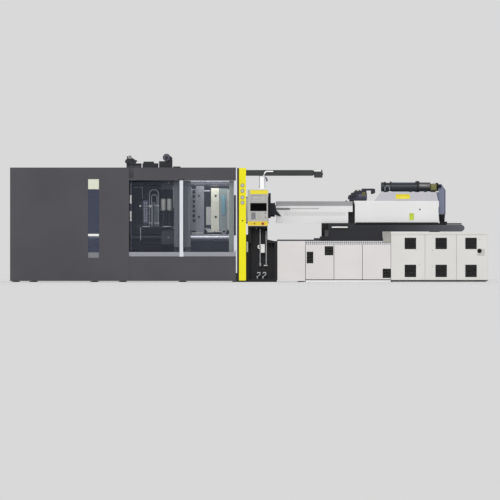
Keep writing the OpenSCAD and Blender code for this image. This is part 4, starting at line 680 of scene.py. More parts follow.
# %% Injection unit and panel
dress(PAINT["bed"], "injection_bed pump_unit")
dress(PAINT["hydraulic"], "thrust_block")
dress(METAL["chrome"], "screw")
dress(METAL["barrel"], "barrel")
dress(METAL["bright"], "heater_bands water_pipes")
dress(PAINT["white"], "drive_housing")
dress(PAINT["hood"], "drive_hood")
dress(PAINT["slate"], "top_cylinder")
dress(ZONED["barrel cover"], "barrel_cover")
dress(ZONED["purge guard"], "purge_guard purge_door")
dress(ZONED["carriage"], "carriage_frame")
dress(ZONED["column"], "drive_column")
dress(ZONED["loader"], "feed_throat")
dress(PAINT["pure white"], "panel_post")
dress(PAINT["boom"], "cable_boom")
dress(PLASTIC["panel"], "panel_housing")
dress(PLASTIC["screen"], "panel_screen")
dress(PLASTIC["red"], "emergency_stop")
dress(PLASTIC["black"], "start_button main_switch")
print("dressed:", len(dressed), "of", len(nodes), "left:", sorted(set(nodes) - set(dressed)))

# %% [markdown]
# ## Filter grilles
# Behind every louvred field sits a black filter grille: a moulded frame with slanted blades. One blade is a thin
# block that is tilted and repeated, which is lighter than cutting slots in a plate.

# %% A grille
TILT = 6  # degrees


def grille(name, x, y, z, blades, body):
    """The louvred field is x by z, and y is the sheet's outer face."""
    edge = soften(new_frame(name, (x[0] - 5, x[1] + 5), (y - 5, y), (z[0] - 5, z[1] + 5), 10), 1.5)
    pitch = (z[1] - z[0]) / blades
    heights = (z[0] + pitch * 0.04, z[0] + pitch * 0.96)
    blade = new_block(name + "_blade", (x[0] + 2, x[1] - 2), (y - 2.6, y - 1.2), heights)
    only(blade)
    bpy.ops.object.mode_set(mode="EDIT")
    bpy.ops.mesh.select_all(action="SELECT")
    bpy.ops.transform.rotate(value=math.radians(TILT), orient_axis="X",
                             center_override=(sum(x) / (2 * MM), y / MM, (z[0] + pitch / 2) / MM))
    bpy.ops.object.mode_set(mode="OBJECT")
    return finish(joined(name, [edge, row(blade, blades, (0, 0, pitch))]), body, PLASTIC["black"])


print("blade tilt:", TILT, "degrees")

# %% [markdown]
# Each cabinet door has two fields, at heights of 104 and 664 mm, and three more sit in the service covers. The
# places are measured from the left edge of the door or of the step in front.

# %% Grilles on the doors and the covers
door_face = edges("cabinet_door_1")[1][0]
for number, start in ((1, 280), (2, 214), (3, 182)):
    left = edges(f"cabinet_door_{number}")[0][0] + start - 3
    for tag, z in (("low", (104, 340)), ("high", (664, 880))):
        grille(f"grille_door_{number}_{tag}", (left, left + 218), door_face, z, 12, f"door_{number}")
bays = edges("tread_strip")[0][0]
cover_face = edges("service_covers")[1][0]
for tag, x, z, blades in (("left", (30, 150), (380, 600), 11), ("middle", (390, 550), (540, 710), 9),
                          ("right", (1550, 1700), (86, 260), 9)):
    grille("grille_cover_" + tag, (bays + x[0], bays + x[1]), cover_face, z, blades, "frame")
tally("grille")

# %% [markdown]
# ## Main switch and door locks
# The rotary main switch turns on a pale plate with a dark round collar. Quarter-turn locks hold the doors: short
# drums whose front is inset for the key. An inset with a small depth does for both, and nothing has to be cut.

# %% Switch plate, collar and locks
(kx0, kx1), _, (kz0, kz1) = edges("main_switch")
kx, kz = (kx0 + kx1) / 2, (kz0 + kz1) / 2
back = new_block("switch_plate", (kx - 48, kx + 104), (door_face - 0.3, door_face), (kz - 100, kz + 44))
finish(inset(back, is_front, 5), "door_3", PLASTIC["field"])
collar = new_ring("switch_collar", "Y", (kx, door_face - 2.6, kz), 88, 4.6, 10)
finish(collar, "door_3", PLASTIC["black"])
LOCKS = (1, 3411, 347), (2, 3673, 894), (2, 3673, 634), (2, 3673, 308), (3, 4614, 852)  # door, x and z
for number, (door, x, z) in enumerate(LOCKS):
    lock = inset(bar(f"door_lock_{number + 1}", "Y", (x, door_face - 2.5, z), 22, 5), is_front, 4, -1)
    finish(lock, f"door_{door}", PLASTIC["field"])
tally("switch and lock")

# %% [markdown]
# ## Operator panel
# The panel's face is a printed film: a yellow band above the displays and one along the bottom. Between them are
# two framed displays, the screen and a field of short-travel keys. A picture of the panel would be quicker to make,
# but flat. Thin blocks with rounded edges catch the light as films and keys do, and all the keys are copies of one.

# %% Bands of film and displays
(px0, px1), (py0, _), (pz0, pz1) = edges("panel_housing")


def film(name, x, z, material):
    piece = new_block(name, x, (py0 - 1, py0), z)
    return finish(soften(inset(piece, is_front, 2), 0.4), "panel", material)


film("panel_band_top", (px0 + 53, px1 - 2), (pz0 + 634, pz0 + 714), PLASTIC["yellow"])
film("panel_band_low", (px0 + 2, px1 - 1), (pz0 + 2, pz0 + 90), PLASTIC["amber"])
display = [new_frame("panel_displays", (px0 + 74, px1 - 46), (py0 - 1, py0 + 3), (pz0 + 478, pz0 + 612), 3),
           new_frame("display_two", (px0 + 80, px1 - 140), (py0 - 1, py0 + 3), (pz0 + 530, pz0 + 604), 3)]
finish(joined("panel_displays", display), "panel", METAL["anodised"])
tally("film and display")

# %% [markdown]
# ### Keys, stop collar and lamps
# The keys stand in two fields of four by seven. The emergency stop has a dark collar round it, a ring with a cone's
# flank, so that nothing catches behind the knob.

# %% Keys, knobs, collar and lamps
key = inset(new_block("panel_keys", (px0 + 76, px0 + 92), (py0 - 1, py0 + 3), (pz0 + 130, pz0 + 145)), is_front, 2, 1)
key = row(row(soften(key, 1, 1), 4, (22, 0, 0)), 7, (0, 0, 20))
pair = copied(key, "panel_keys_right", (110, 0, 0))
bezel = new_frame("screen_bezel", (px0 + 53, px1 - 26), (py0 - 2, py0 + 3), (pz0 + 294, pz0 + 456), 12)
finish(soften(bezel, 1), "panel", PLASTIC["screen"])
finish(key, "panel", PAINT["violet"])
finish(pair, "panel", PLASTIC["field"])
for number, z in enumerate((167, 255)):
    knob = new_drum(f"panel_knob_{number + 1}", "Y", (px1 - 54, py0 - 3, pz0 + z), 18, 12, 24, 15)
    finish(soften(inset(knob, is_front, 3, -1), 1), "panel", PLASTIC["black"])
(sx0, sx1), _, (sz0, sz1) = edges("emergency_stop")
sx, sz = (sx0 + sx1) / 2, (sz0 + sz1) / 2
finish(new_ring("stop_collar", "Y", (sx, py0 - 3, sz), 56, 5, 9, 50), "panel", PLASTIC["key"])
for number, x in enumerate((78, 106)):
    lamp = bar(f"panel_lamp_{number + 1}", "Y", (px0 + x, py0 - 3, sz), 12, 6, 1, 20, 10)
    finish(lamp, "panel", PLASTIC["key"])
tally("key, knob and lamp")

# %% [markdown]
# ## Post and boom
# Two thin grey strips on the post are painted shade: the shadow lines in the gaps along its sides. The conduit turns
# down at its end, with a hose hook below, and the boom's junction box has a pale lid. Bends and straight legs are made
# apart and joined, as a fitter does it, because a spun bend keeps its round section all the way.

# %% Gap shade, hook and lid
post_y = edges("panel_post")[1][0]
(_, bx1), (by0, _), (bz0, bz1) = edges("cable_boom")
# Both strips are painted shade, the shadow lines in the gaps along the post's sides.
strip = plate("post_gap_shade", (203, 212), (post_y + 19, post_y + 21.5), (pz1 + 6, bz0 + 36))
pair = copied(strip, "post_gap_shade_right", (109, 0, 0))
finish(strip, "frame", PAINT["violet"])
finish(pair, "frame", PAINT["violet"])
end = [new_bend("conduit_end", (322, by0 - 12, 2112), 24, 22, 180, 90), bar("leg", "Z", (298, by0 - 12, 2130), 22, 38)]
finish(joined("conduit_end", end), "frame", PLASTIC["pale"])
hook = joined("conduit_hook", [new_bend("hook_bend", (322, by0 - 12, 2054), 34, 28, 90, -90),
                               bar("hook_tip", "Z", (356, by0 - 12, 2036), 36, 44, 3)])
finish(hook, "frame", PAINT["violet"])
lid = inset(plate("boom_lid", (bx1 - 166, bx1 - 26), (by0 - 3, by0), (bz1 - 36, bz1 - 1)), is_front, 6, -1)
finish(lid, "frame", PLASTIC["pale"])
finish(bar("boom_gland", "X", (bx1 - 2, by0 + 30, bz0 + 70), 44, 24, 3), "frame", PAINT["boom"])
tally("post and boom")

# %% [markdown]
# ## Pillar controls
# Four round caps with dark rims stand in a line on the yellow pillar, with a small key switch below. A cap is a
# drum whose front is inset and sunk, and its rim is a piece of its own, because it has another finish.

# %% Caps on the pillar
pillar_face = edges("pillar_faces")[1][0]
for number, z in enumerate((1932, 1821, 1692, 1588)):
    disc = new_drum(f"pillar_cap_{number + 1}", "Y", (-131, pillar_face - 5, z), 60, 10, 40, 54)
    finish(soften(inset(disc, is_front, 12, -3), 1), "frame", PLASTIC["field"])
    rim = new_ring(f"pillar_rim_{number + 1}", "Y", (-131, pillar_face - 3.5, z), 78, 7, 8, 72)
    finish(rim, "frame", PLASTIC["key"])
key = inset(bar("pillar_key_switch", "Y", (-130, pillar_face - 3, 1226), 26, 6), is_front, 5, 2)
finish(key, "frame", PLASTIC["black"])
tally("pillar")

# %% [markdown]
# ## Gate details
# Rubber closes every gap that a hand could enter: a seal on the closing profile, two lips on the gate's post and a
# frame round the fixed pane. Two dark strips on the header are painted shade, where the clamp cover stands proud of it
# at the seam, and a painted edge closes the window's side. Rubber sections are as wide all along, so plates and a
# bridged frame have just their shape.

# %% Seals and seams
gate_y = edges("front_gate")[1][0]
finish(plate("closing_seal", (-300, -263), (-1052, -1046), (932, 1738), 2), "frame", PLASTIC["rubber"])
for name, x in (("gate_lip_left", (-1397, -1389)), ("gate_lip_right", (-1318, -1304))):
    finish(plate(name, x, (gate_y - 2, gate_y), (604, 2070)), "gate_front", PLASTIC["rubber"])
header_y = edges("gate_surround")[1][0]
# Both strips are painted shade where the clamp cover stands proud of the header.
strips = [plate("seam_shade_strips", (-2397, -2364), (header_y - 1.2, header_y), (2078, 2286), 0.4),
          plate("seam_strip", (-2356, -2310), (header_y - 1.2, header_y), (2078, 2286), 0.4)]
finish(joined("seam_shade_strips", strips), "frame", PAINT["seam"])
finish(plate("window_edge", (-2369, -2351), (-929, -923), (590, 2084), 0.6), "frame", PAINT["violet"])
seal = new_frame("pane_seal", (-2399, -1338), (-974, -968), (600, 2074), 16)
finish(soften(seal, 1.5), "frame", PLASTIC["rubber"])
tally("seal and seam")

# %% [markdown]
# ### Switch housings and painted light on the port
# Two pale switch housings stand behind the fixed pane, at the clamp cover's edge. Three strips lie on the narrow port's
# pane and leave a clear field between them. The cream one at the top and the pale line are painted light: the lit upper
# tie bar and the highlight along the lower one behind the pane. The grey one sits low, and each is a thin block with an
# inset edge.

# %% Housings and strips on the port
port_y = edges("front_clamp_cover")[1][0] + 4
for number, z in enumerate(((1569, 1740), (1286, 1419), (1219, 1276))):
    housing = inset(plate(f"gate_switch_{number + 1}", (-2392, -2348), (-962, -928), z, 3), is_front, 9, -3)
    finish(housing, "frame", PLASTIC["pale"])
# The top and middle strips are painted light: the lit upper tie bar and the highlight on the lower one, seen through
# the port.
for name, z, tint in (("port_painted_light_top", (1856, 2056), "cream"), ("port_painted_highlight_line", (920, 962), "pale"),
                      ("port_film_low", (484, 592), "key")):
    port_strip = inset(new_block(name, (-3218, -3002), (port_y - 0.8, port_y), z), is_front, 3)
    finish(soften(port_strip, 0.3), "frame", PLASTIC[tint])
tally("housing and film")

# %% [markdown]
# ## Behind the moving platen
# Accumulators, a manifold and looped hoses stand on the tray and ride with the platen. An accumulator is a drum
# with three clamp rings. Its domed ends are a wide bevel of five segments, which is rounder than a cone and lighter
# than a sphere.

# %% Accumulators
for number, (x, diameter) in enumerate(((-1714.5, 98), (-1592.5, 106))):
    shell = soften(new_drum("bottle", "Z", (x, -700, 1548), diameter, 242, 32), 24, 5)
    rings = row(new_ring("bottle_ring", "Z", (x, -700, 1476), diameter + 8, 12, 3.9), 3, (0, 0, 64))
    finish(joined(f"accumulator_{number + 1}", [shell, rings]), "platen", METAL["zinc"])
tally("accumulator")

# %% [markdown]
# ### Manifold
# The manifold is a drilled steel block. Its face carries two columns of hexagon plugs, and its end ports have pale
# caps. A plug is a drum with six sides, set in a row across and then in a row of seven up the face.

# %% Manifold face, plugs and caps
face = inset(plate("manifold_face", (-2120, -2022), (-765, -759.5), (1180, 1634), 2), is_front, 8, -1)
finish(face, "platen", PAINT["violet"])
plug = bar("manifold_plugs", "Y", (-2092, -769, 1230), 26, 9, 1, 6)
plug = row(row(plug, 2, (44, 0, 0)), 7, (0, 0, 58))
finish(plug, "platen", METAL["zinc"])
for number, (x, z) in enumerate(((-2176, 1520), (-1972, 1514))):
    cap = inset(bar(f"port_cap_{number + 1}", "Y", (x, -772, z), 38, 24, 6), is_front, 6, -2)
    finish(cap, "platen", PLASTIC["pale"])
fittings = [bar("port_fittings", "X", (-2000, -735, 1514), 30, 44, 2, 6),
            bar("port_elbow", "X", (-2000, -735, 1364), 24, 44, 2, 6)]
finish(joined("port_fittings", fittings), "platen", METAL["zinc"])
tally("manifold")

# %% [markdown]
# ### Hoses and tray
# Three loops stand one inside the other. A loop is a half turn of pipe with two straight legs, which end on the
# tray. A drop hose runs from the tray's end down the platen's side. High pressure hoses of this length hardly bend
# as the platen travels, so they are stiff pieces that ride with it.

# %% Hose loops, drop hose and tray edge
HOSE_Y, TRAY_TOP = -738, 1112
for number, (x, reach, top, diameter) in enumerate(((-1903, 90, 1760, 20), (-1897, 56, 1690, 18),
                                                    (-1905, 24, 1560, 18))):
    loop = [new_bend("loop", (x, HOSE_Y, top), reach, diameter, 0, 180, 14)]
    for side in (-reach, reach):
        loop.append(bar("leg", "Z", (x + side, HOSE_Y, (TRAY_TOP + top) / 2), diameter, top - TRAY_TOP))
    finish(joined(f"hose_loop_{number + 1}", loop), "platen", PLASTIC["hose"])
drop = [new_bend("drop_hose", (-1530, -806, 968), 112, 22, 90, -90), bar("leg", "Z", (-1418, -806, 912), 22, 112),
        bar("ferrule", "Z", (-1418, -806, 862), 30, 30, 2, 6)]
finish(joined("drop_hose", drop), "platen", PLASTIC["hose"])
lip = plate("tray_edge", (-2136, -1976), (-792, -790), (1104, 1114), 0.5)
twin = copied(lip, "tray_edge_right", (412, 0, 0))
finish(lip, "platen", METAL["bright"])
finish(twin, "platen", METAL["bright"])
tally("hose and tray")

# %% [markdown]
# ### Lines
# Thin steel lines carry pressure signals and drain oil. Each is a bar of 10 to 14 mm, with nuts where it branches,
# and hexagon nuts join the hose legs to their fittings.

# %% Signal, level and drain lines, and hose nuts
line = [bar("signal_line", "Z", (-2135, -700, 1782), 12, 240), bar("signal_line", "X", (-2212, -700, 1898), 12, 166, 2)]
line.append(row(bar("nut", "X", (-2280, -700, 1898), 22, 12, 2, 6), 5, (34, 0, 0)))
finish(joined("signal_line", line), "platen", PLASTIC["key"])
nuts = [bar("nut", "Z", (x, HOSE_Y, z), 30, 30, 2, 6)
        for x in (-1993, -1953, -1881, -1841, -1813) for z in (1180, 1530)]
finish(joined("hose_nuts", nuts), "platen", METAL["bright"])
line = [bar("level_line", "Z", (-1514, -812, 1864), 12, 122), bar("level_foot", "Z", (-1514, -812, 1640), 10, 330)]
finish(joined("level_line", line), "platen", METAL["bright"])
finish(bar("drain_line", "Z", (-2171, -770, 962), 14, 260), "platen", METAL["bright"])
tally("line")

# %% [markdown]
# ## Mould
# The fixed half has a teal cover strip over its heater wiring. The strip is a drum whose upper half is moved up,
# which leaves two round ends. Nipples and hoses for cooling water sit along the lower edge of both halves.

# %% Wiring strip, nipples and hoses
strip = stretch(new_drum("mould_wiring_strip", "Y", (-512, -371, 1376), 69, 6, 40), lambda c, normal: c.z > 1380, z=335)
finish(soften(strip, 1.5), "frame", PLASTIC["teal"])
nipple = inset(bar("mould_nipples_moving", "Y", (-1140, -396, 978), 30, 34, 2, 12), is_front, 6, -3)
finish(row(nipple, 4, (34, 0, 0)), "platen", PLASTIC["pale"])
finish(bar("mould_hose_moving", "X", (-1030, -404, 976), 22, 240, 3), "platen", PLASTIC["pale"])
clamp = [plate("clamp", (-856, -760), (-396, -380), (1026, 1052), 4),
         plate("clamp", (-838, -700), (-404, -380), (994, 1022), 4),
         bar("clamp_screw", "Y", (-800, -402, 1039), 22, 14, 2, 6),
         bar("clamp_screw", "Y", (-740, -408, 1008), 22, 12, 2, 6)]
finish(joined("mould_lock", clamp), "frame", PLASTIC["pale"])
finish(bar("mould_hose_fixed", "X", (-616, -392, 1006), 20, 150, 3), "frame", PLASTIC["pale"])
tally("strip, nipple and hose")

# %% [markdown]
# ### Pockets and bores in painted shade, and the eye
# The moving half has seven clamping pockets, each a bright frame round a dark back in black rubber, which is painted
# shade in the recess. One pocket is modelled and repeated every 96 mm, frame and back apart, as their finishes differ.
# Two dark discs on each half are painted shade in the open cooling bores, and the lifting eye is a ring.

# %% Pocket frames, pocket and bore shade, eye and platen strip
frames = row(soften(new_frame("mould_pocket_frames", (-1141, -1071), (-366, -359), (1187, 1271), 7), 1), 7, (0, 0, 96))
finish(frames, "platen", METAL["bright"])
# The pocket backs are black: painted shade in the recesses.
pocket_shade = inset(plate("mould_pocket_shade", (-1133, -1079), (-334, -321), (1195, 1263)), is_front, 8, 4)
finish(row(pocket_shade, 7, (0, 0, 96)), "platen", PLASTIC["rubber"])
# The dark discs are painted shade, standing for the open cooling bores.
for body, x, colour in (("platen", -1003, "hydraulic"), ("frame", -667, "black")):
    bore_shade = row(inset(bar(f"mould_bore_shade_{body}", "Y", (x, -381, 1304), 44, 4, 1, 24), is_front, 12, -1), 2, (0, 0, 420))
    finish(bore_shade, body, PAINT[colour])
eye = new_ring("mould_eye", "Y", (-500, -384, 1010), 96, 14, 20)
finish(eye, "frame", METAL["bright"])
strip = inset(plate("platen_strip", (-1216, -1173), (-803, -800), (1060, 1900), 1), is_front, 5, -1)
finish(strip, "platen", PLASTIC["key"])
tally("pocket, plug and eye")

# %% [markdown]
# ## Roof hydraulics
# A ring and a face plate mark the pump motor, a cap and solenoids the valve stack. They are drums with an inset
# front, because the rim makes a round end read as a motor or a cap even from far away.

# %% Motor ring, solenoids and base
finish(new_ring("motor_ring", "Y", (-1650, -913, 2491), 138, 8, 16, 130), "frame", PAINT["violet"])
face = inset(bar("motor_face", "Y", (-1650, -912, 2491), 96, 6, 2, 40), is_front, 16, 2)
finish(face, "frame", PLASTIC["key"])
cap = inset(bar("stack_cap", "Y", (-2384, -856, 2504), 78, 14, 4, 32), is_front, 16, -4)
finish(cap, "frame", METAL["zinc"])
solenoid = [inset(bar("solenoid", "Y", (x, -862, z), 46, 24, 3, 24), is_front, 10, -4) for x, z in
            ((-2440, 2440), (-2330, 2436), (-2262, 2420), (-2290, 2346))]
finish(joined("solenoids", solenoid), "frame", PAINT["hydraulic"])
body = inset(plate("pump_body", (-1645, -1533), (-872, -692), (2368, 2470), 16), is_front, 14, -3)
finish(body, "frame", PAINT["hydraulic"])
base = inset(plate("stack_base", (-2452, -2150), (-856, -664), (2291, 2372), 4), is_front, 10, -2)
finish(base, "frame", PAINT["hydraulic"])
tally("roof")

# %% [markdown]
# ## Barrel cover
# The cover's vent slots look pale, because a white insulating blanket lies behind them. So the blanket is one thin
# block inside the cover, and the slots need no paint of their own. A slim rail guides the purge guard's rod, and a
# knob on top opens the cover's lid.

# %% Blanket, rail and knob
(cx0, cx1), (cy0, _), (_, cz1) = edges("barrel_cover")
blanket = new_block("vent_blanket", (cx0 + 160, cx1 - 144), (cy0 + 5, cy0 + 9), (cz1 - 292, cz1 - 214))
finish(soften(inset(blanket, is_front, 3), 1), "carriage", PLASTIC["slot"])
finish(plate("cover_rail", (828, 1404), (cy0 - 4, cy0), (1464, 1478), 1), "carriage", METAL["zinc"])
finish(bar("cover_knob", "Z", (1952, 0, cz1 + 8), 40, 16, 3, 32), "carriage", PLASTIC["rubber"])
tally("barrel cover")

# %% [markdown]
# ## Loader head
# A finned motor lies along the loader head, with an olive cap in front, three valves on top and hose clamps at its
# end. Each fin could be turned from the motor's own mesh, but a ring repeated eleven times is quicker to space.

# %% Motor, cap, valves and clamps
motor = [bar("loader_motor", "X", (2282, -70, 1714), 138, 168, 4, 40)]
motor.append(row(new_ring("loader_fins", "X", (2212, -70, 1714), 150, 5, 5.9), 11, (14, 0, 0)))
finish(joined("loader_motor", motor), "carriage", PAINT["violet"])
cap = inset(bar("loader_cap", "Y", (2301, -146, 1761), 78, 20, 3, 40), is_front, 14, -4)
finish(cap, "carriage", PLASTIC["olive"])
valve = bar("loader_valves", "Z", (2150, -60, 1830), 40, 36, 4, 24)
finish(row(valve, 3, (66, 0, 0)), "carriage", PLASTIC["olive"])
clamps = row(new_ring("loader_clamps", "X", (2040, -84, 1700), 120, 10, 16), 3, (42, 0, 14))
finish(clamps, "carriage", PAINT["black"])
tally("loader")

# %% [markdown]
# ## Injection carriage
# The carriage's front end is closed by a black plate with a grey bracket, and a rubber strip seals the drive housing
# against the deck. The grab bar is sleeved in white: a plate with wide bevels, whose ends are moved down a little
# because the bar is bent.

# %% End plate, bracket, grab bar and seal
CARRIAGE_Y = -420
end = plate("carriage_end_plate", (1457, 1583), (CARRIAGE_Y - 2, CARRIAGE_Y), (916, 1170))
finish(end, "carriage", PLASTIC["black"])
bracket = plate("carriage_bracket", (1517, 1590), (CARRIAGE_Y - 11, CARRIAGE_Y - 8), (914, 1042), 1)
finish(inset(bracket, is_front, 8, -1), "carriage", PAINT["guard"])
sleeve = plate("grab_bar", (1655, 1979), (CARRIAGE_Y - 45, CARRIAGE_Y - 19), (1081, 1113), 10)
finish(stretch(sleeve, lambda centre, normal: abs(normal.x) > FLAT, z=-6), "carriage", PLASTIC["pale"])
finish(plate("housing_seal", (2140, 3790), (-336, -330), (1181, 1194), 2), "carriage", PLASTIC["rubber"])
tally("carriage")

# %% [markdown]
# ## Drive unit
# The cover plates on hood and housing are plain and coloured. Their field is sunk by half a millimetre, which leaves
# the raised edge of a pressed plate. A black plug closes a bore in the housing.

# %% Plates and the housing's plug
face = inset(plate("hood_plate", (2942, 3224), (-303, -300), (1664, 1758), 1), is_front, 6, -0.5)
finish(face, "carriage", PLASTIC["yellow"])
face = inset(plate("housing_plate", (3214, 3304), (-333, -330), (1238, 1376), 1), is_front, 5, -0.5)
finish(face, "carriage", PLASTIC["lime"])
plug = inset(bar("housing_plug", "Y", (3424, -333, 1454), 30, 6, 1, 24), is_front, 6, -2)
finish(plug, "carriage", PLASTIC["black"])
tally("drive plate")

# %% [markdown]
# ### Cylinder fittings
# A pipe runs along the cylinder and a hose loops at its end. Two rings strap it down, its rod has a sleeve, and an
# olive valve joins it to the column. Their places come from the cylinder's own box, so that they fit round it.

# %% Pipe, hose, straps, valve and sleeve
_, (ty0, ty1), (tz0, _) = edges("top_cylinder")
ty, tz = (ty0 + ty1) / 2, tz0 + 103
pipe = [bar("cylinder_pipe", "X", (3100, ty - 52, tz + 84), 14, 440)]
pipe += [bar("end", "Y", (x, ty - 44, tz + 84), 20, 22, 2, 6) for x in (2884, 3312)]
finish(joined("cylinder_pipe", pipe), "carriage", PLASTIC["hose"])
hose = [new_bend("cylinder_hose", (2770, ty0 - 4, 1880), 46, 20, 180, -180)]
hose += [bar("leg", "Z", (x, ty0 - 4, 1856), 20, 50) for x in (2724, 2816)]
finish(joined("cylinder_hose", hose), "carriage", PLASTIC["hose"])
for number, x in enumerate((2722, 3382)):
    strap = new_ring(f"cylinder_strap_{number + 1}", "X", (x, ty, tz), 210, 34, 12)
    finish(strap, "carriage", PAINT["black"])
valve = plate("cylinder_valve", (3636, 3762), (ty0 - 14, ty0 + 34), (1834, 1972), 24)
finish(inset(valve, is_front, 16, 8), "carriage", PLASTIC["olive"])
ring = new_ring("column_ring", "X", (3764, ty, tz), 168, 52, 12)
cap = plate("column_cap", (3788, 3850), (ty0 - 6, ty0 + 28), (1886, 1950), 4)
edge = plate("deck_edge", (2124, 3960), (CARRIAGE_Y - 3, CARRIAGE_Y), (1146, 1176), 1)
finish(ring, "carriage", PLASTIC["rubber"])
finish(cap, "carriage", PLASTIC["rubber"])
finish(edge, "carriage", PLASTIC["black"])
sleeve = bar("cylinder_sleeve", "X", (3521, ty0 + 4, 1926), 86, 222, 4, 28)
finish(sleeve, "carriage", METAL["barrel"])
tally("cylinder fitting")

# %% [markdown]
# ### Column
# A gusset widens the column towards its top: a slim block whose top face is scaled up. The column stands on a foot,
# in a tapered rubber boot with five folds.

# %% Gusset, foot and boot
gusset = new_block("column_gusset", (3797, 3814), (ty - 40, ty + 40), (1624, 1798))
select(gusset, lambda centre, normal: normal.z > FLAT)
bpy.ops.transform.resize(value=(3.8, 1, 1), center_override=(3.814, ty / MM, 1.798))
bpy.ops.object.mode_set(mode="OBJECT")
finish(soften(gusset, 1), "carriage", ZONED["column"])
foot = plate("column_foot", (3820, 3972), (ty - 74, ty + 74), (1180, 1211), 3)
finish(foot, "carriage", PLASTIC["rubber"])
boot = new_drum("column_boot", "Z", (3866, ty, 1284), 100, 150, 40, 132)
folds = row(new_ring("fold", "Z", (3866, ty, 1232), 122, 12, 8), 5, (0, 0, 26))
finish(joined("column_boot", [soften(boot, 3), folds]), "carriage", PLASTIC["rubber"])
tally("column")

# %% [markdown]
# ## Covers and cabinet
# A grey hood covers the junction block, its front sunk as pressed sheet is. A dark rubber edge runs along the bottom
# of covers and cabinet, with a pale plinth behind it. All are thin plates just in front of what carries them.

# %% Junction hood, rubber edge and plinth
hood = [inset(plate("junction_hood", (2681, 2839), (-900, -860), (821, 1009), 2), is_front, 8, -1),
        plate("junction_lip", (2681, 2837), (-903, -900.3), (782, 824), 1)]
finish(joined("junction_hood", hood), "frame", PAINT["junction"])
finish(plate("rubber_edge_covers", (1132, 2838), (-903, -900), (38, 52), 1), "frame", PLASTIC["rubber"])
edge = plate("rubber_edge_cabinet", (2842, 4778), (-904, -900.3), (22, 38), 1)
finish(edge, "frame", PLASTIC["rubber"])
finish(plate("plinth_covers", (1136, 2834), (-899, -893), (1, 30), 1), "frame", PLASTIC["pale"])
tally("cover")

# %% [markdown]
# ## Water services
# Two risers pass a flow box, with hexagon unions on them, hooked hose couplings below and a white valve elbow beside.
# A coupling is a bend of 250 degrees with a foot and a nut. The risers stand for the plain pipes of the packed
# model, so they replace that part.

# %% Risers, flow box and couplings
y = -755  # the pipes' middle
lines = [bar("water_lines", "Z", (223, y, 720), 21, 700, 2), bar("riser", "Z", (345, y, 684), 24, 664, 2),
         bar("union", "Z", (225, y, 346), 40, 56, 4, 6), bar("union", "X", (334, y, 330), 34, 78, 4, 6),
         bar("union", "Z", (345, y, 1000), 40, 40, 4, 6)]
finish(joined("water_lines", lines), "frame", METAL["bright"])
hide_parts("water_pipes")
box = inset(plate("flow_box", (234, 316), (y - 34, y + 30), (584, 758), 10), is_front, 12, -2)
finish(box, "frame", PLASTIC["pale"])
finish(new_bend("valve_elbow", (214, y - 20, 702), 32, 26, 100, 170), "frame", PLASTIC["pale"])
for number, x in enumerate((192, 306)):
    hook = [new_bend("hook", (x, y, 158), 30, 22, -100, 250, 12), bar("foot", "Z", (x - 26, y, 92), 34, 60, 4, 8),
            bar("nut", "Z", (x + 26, y, 178), 34, 40, 4, 6)]
    finish(joined(f"hose_coupling_{number + 1}", hook), "frame", METAL["bright"])
strip = inset(plate("services_strip", (-52, -20), (-886.5, -884), (600, 806), 1), is_front, 4)
finish(strip, "frame", PLASTIC["cream"])
finish(bar("vent_stub", "Z", (148, y, 1088), 20, 60, 2), "frame", METAL["zinc"])
tally("service")

# %% [markdown]
# ## Camera
# The photograph was taken from far away with a long lens, so nothing shrinks with distance. The frame is 10 m wide
# at the machine's front, and the camera's distance follows from that width and the lens.

# %% Camera
FRAME_WIDTH, LENS, SENSOR = 10.0, 1500.0, 36.0  # metres, and millimetres for the last two
AIM_X, AIM_Z = 0.02, 0.64
camera_data = bpy.data.cameras.new("camera")
camera_data.lens, camera_data.sensor_width, camera_data.clip_end = LENS, SENSOR, 600
camera = bpy.data.objects.new("camera", camera_data)
bpy.context.scene.collection.objects.link(camera)
distance = FRAME_WIDTH * LENS / SENSOR
camera.location = (AIM_X, cad_box[0][1] - distance, AIM_Z)
camera.rotation_euler = (math.pi / 2, 0, 0)
bpy.context.scene.camera = camera
print("camera", round(distance, 1), "m away")

# %% [markdown]
# ## Lamps
# A wide, weak sun from the upper left gives soft shadows, at a level at which a colour renders about as it is
# written. A small lamp above the open mould stands for the light that falls in through the roof, which would
# otherwise be lost behind the panes.

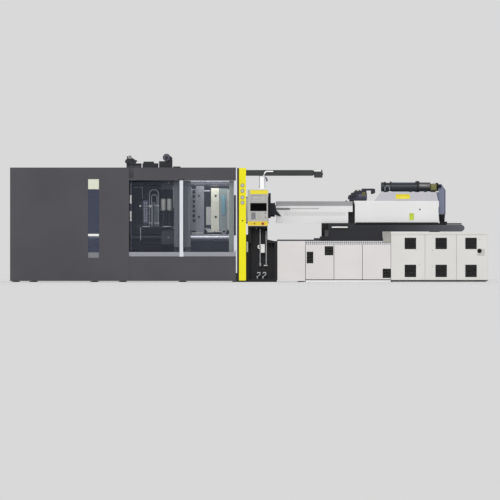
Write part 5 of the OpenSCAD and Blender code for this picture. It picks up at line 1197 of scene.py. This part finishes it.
# %% Sun and mould lamp
sun_data = bpy.data.lights.new("key", "SUN")
sun_data.energy, sun_data.angle = 1.12, math.radians(35)
sun = bpy.data.objects.new("key", sun_data)
sun.rotation_euler = (math.radians(62), 0, math.radians(-8))
bpy.context.scene.collection.objects.link(sun)
lamp_data = bpy.data.lights.new("mould lamp", "AREA")
lamp_data.energy, lamp_data.shape = 5.5, "RECTANGLE"
lamp_data.size, lamp_data.size_y = 0.5, 0.1
lamp = bpy.data.objects.new("mould lamp", lamp_data)
lamp.location, lamp.rotation_euler = (-0.78, -0.52, 2.25), (math.radians(6), 0, 0)
lamp.visible_camera = False
bpy.context.scene.collection.objects.link(lamp)
print("sun:", sun_data.energy, "mould lamp:", lamp_data.energy, "W")

# %% [markdown]
# ## Sky
# The world has two faces. What the camera, a gloss or a pane looks at is the pale grey backdrop, and what lights
# the machine is a weaker white. A studio box of white walls would look alike, but its light takes many bounces.

# %% Sky
world = bpy.data.worlds.new("studio")
bpy.context.scene.world = world
world.use_nodes = True
world.node_tree.nodes.clear()
rays = world.node_tree.nodes.new("ShaderNodeLightPath").outputs
seen = add(world, "ShaderNodeMath", {0: rays["Is Camera Ray"], 1: rays["Is Glossy Ray"]}, operation="MAXIMUM")
seen = add(world, "ShaderNodeMath", {0: seen, 1: rays["Is Transmission Ray"]}, operation="MAXIMUM")
backdrop = add(world, "ShaderNodeBackground", {"Color": linear("#d9d9d9"), "Strength": 1.0})
ambient = add(world, "ShaderNodeBackground", {"Color": (1, 1, 1, 1), "Strength": 0.72})
shown = add(world, "ShaderNodeMixShader", {0: seen, 1: ambient, 2: backdrop})
add(world, "ShaderNodeOutputWorld", {"Surface": shown})
print("sky nodes:", len(world.node_tree.nodes))

# %% [markdown]
# ## Ground
# The ground is a plain pale floor of the backdrop's grey, rough enough to mirror nothing. It takes the machine's shadow
# and isn't part of the machine.

# %% Ground
bpy.ops.mesh.primitive_plane_add(size=80)
ground = settled("ground")
ground.data.materials.append(paint("studio floor", "#e2e2e2", "#e1e1e1", 0.9, 0.2))
bpy.context.scene.view_settings.view_transform = "Standard"
print("ground:", [round(side) for side in ground.dimensions[:2]], "m")

# %% [markdown]
# ## New pieces
# The last line prints how many pieces were made and how many faces they have.

# %% Count the new pieces
print("new pieces:", len(made), "faces:", sum(len(p.data.polygons) for p in made))
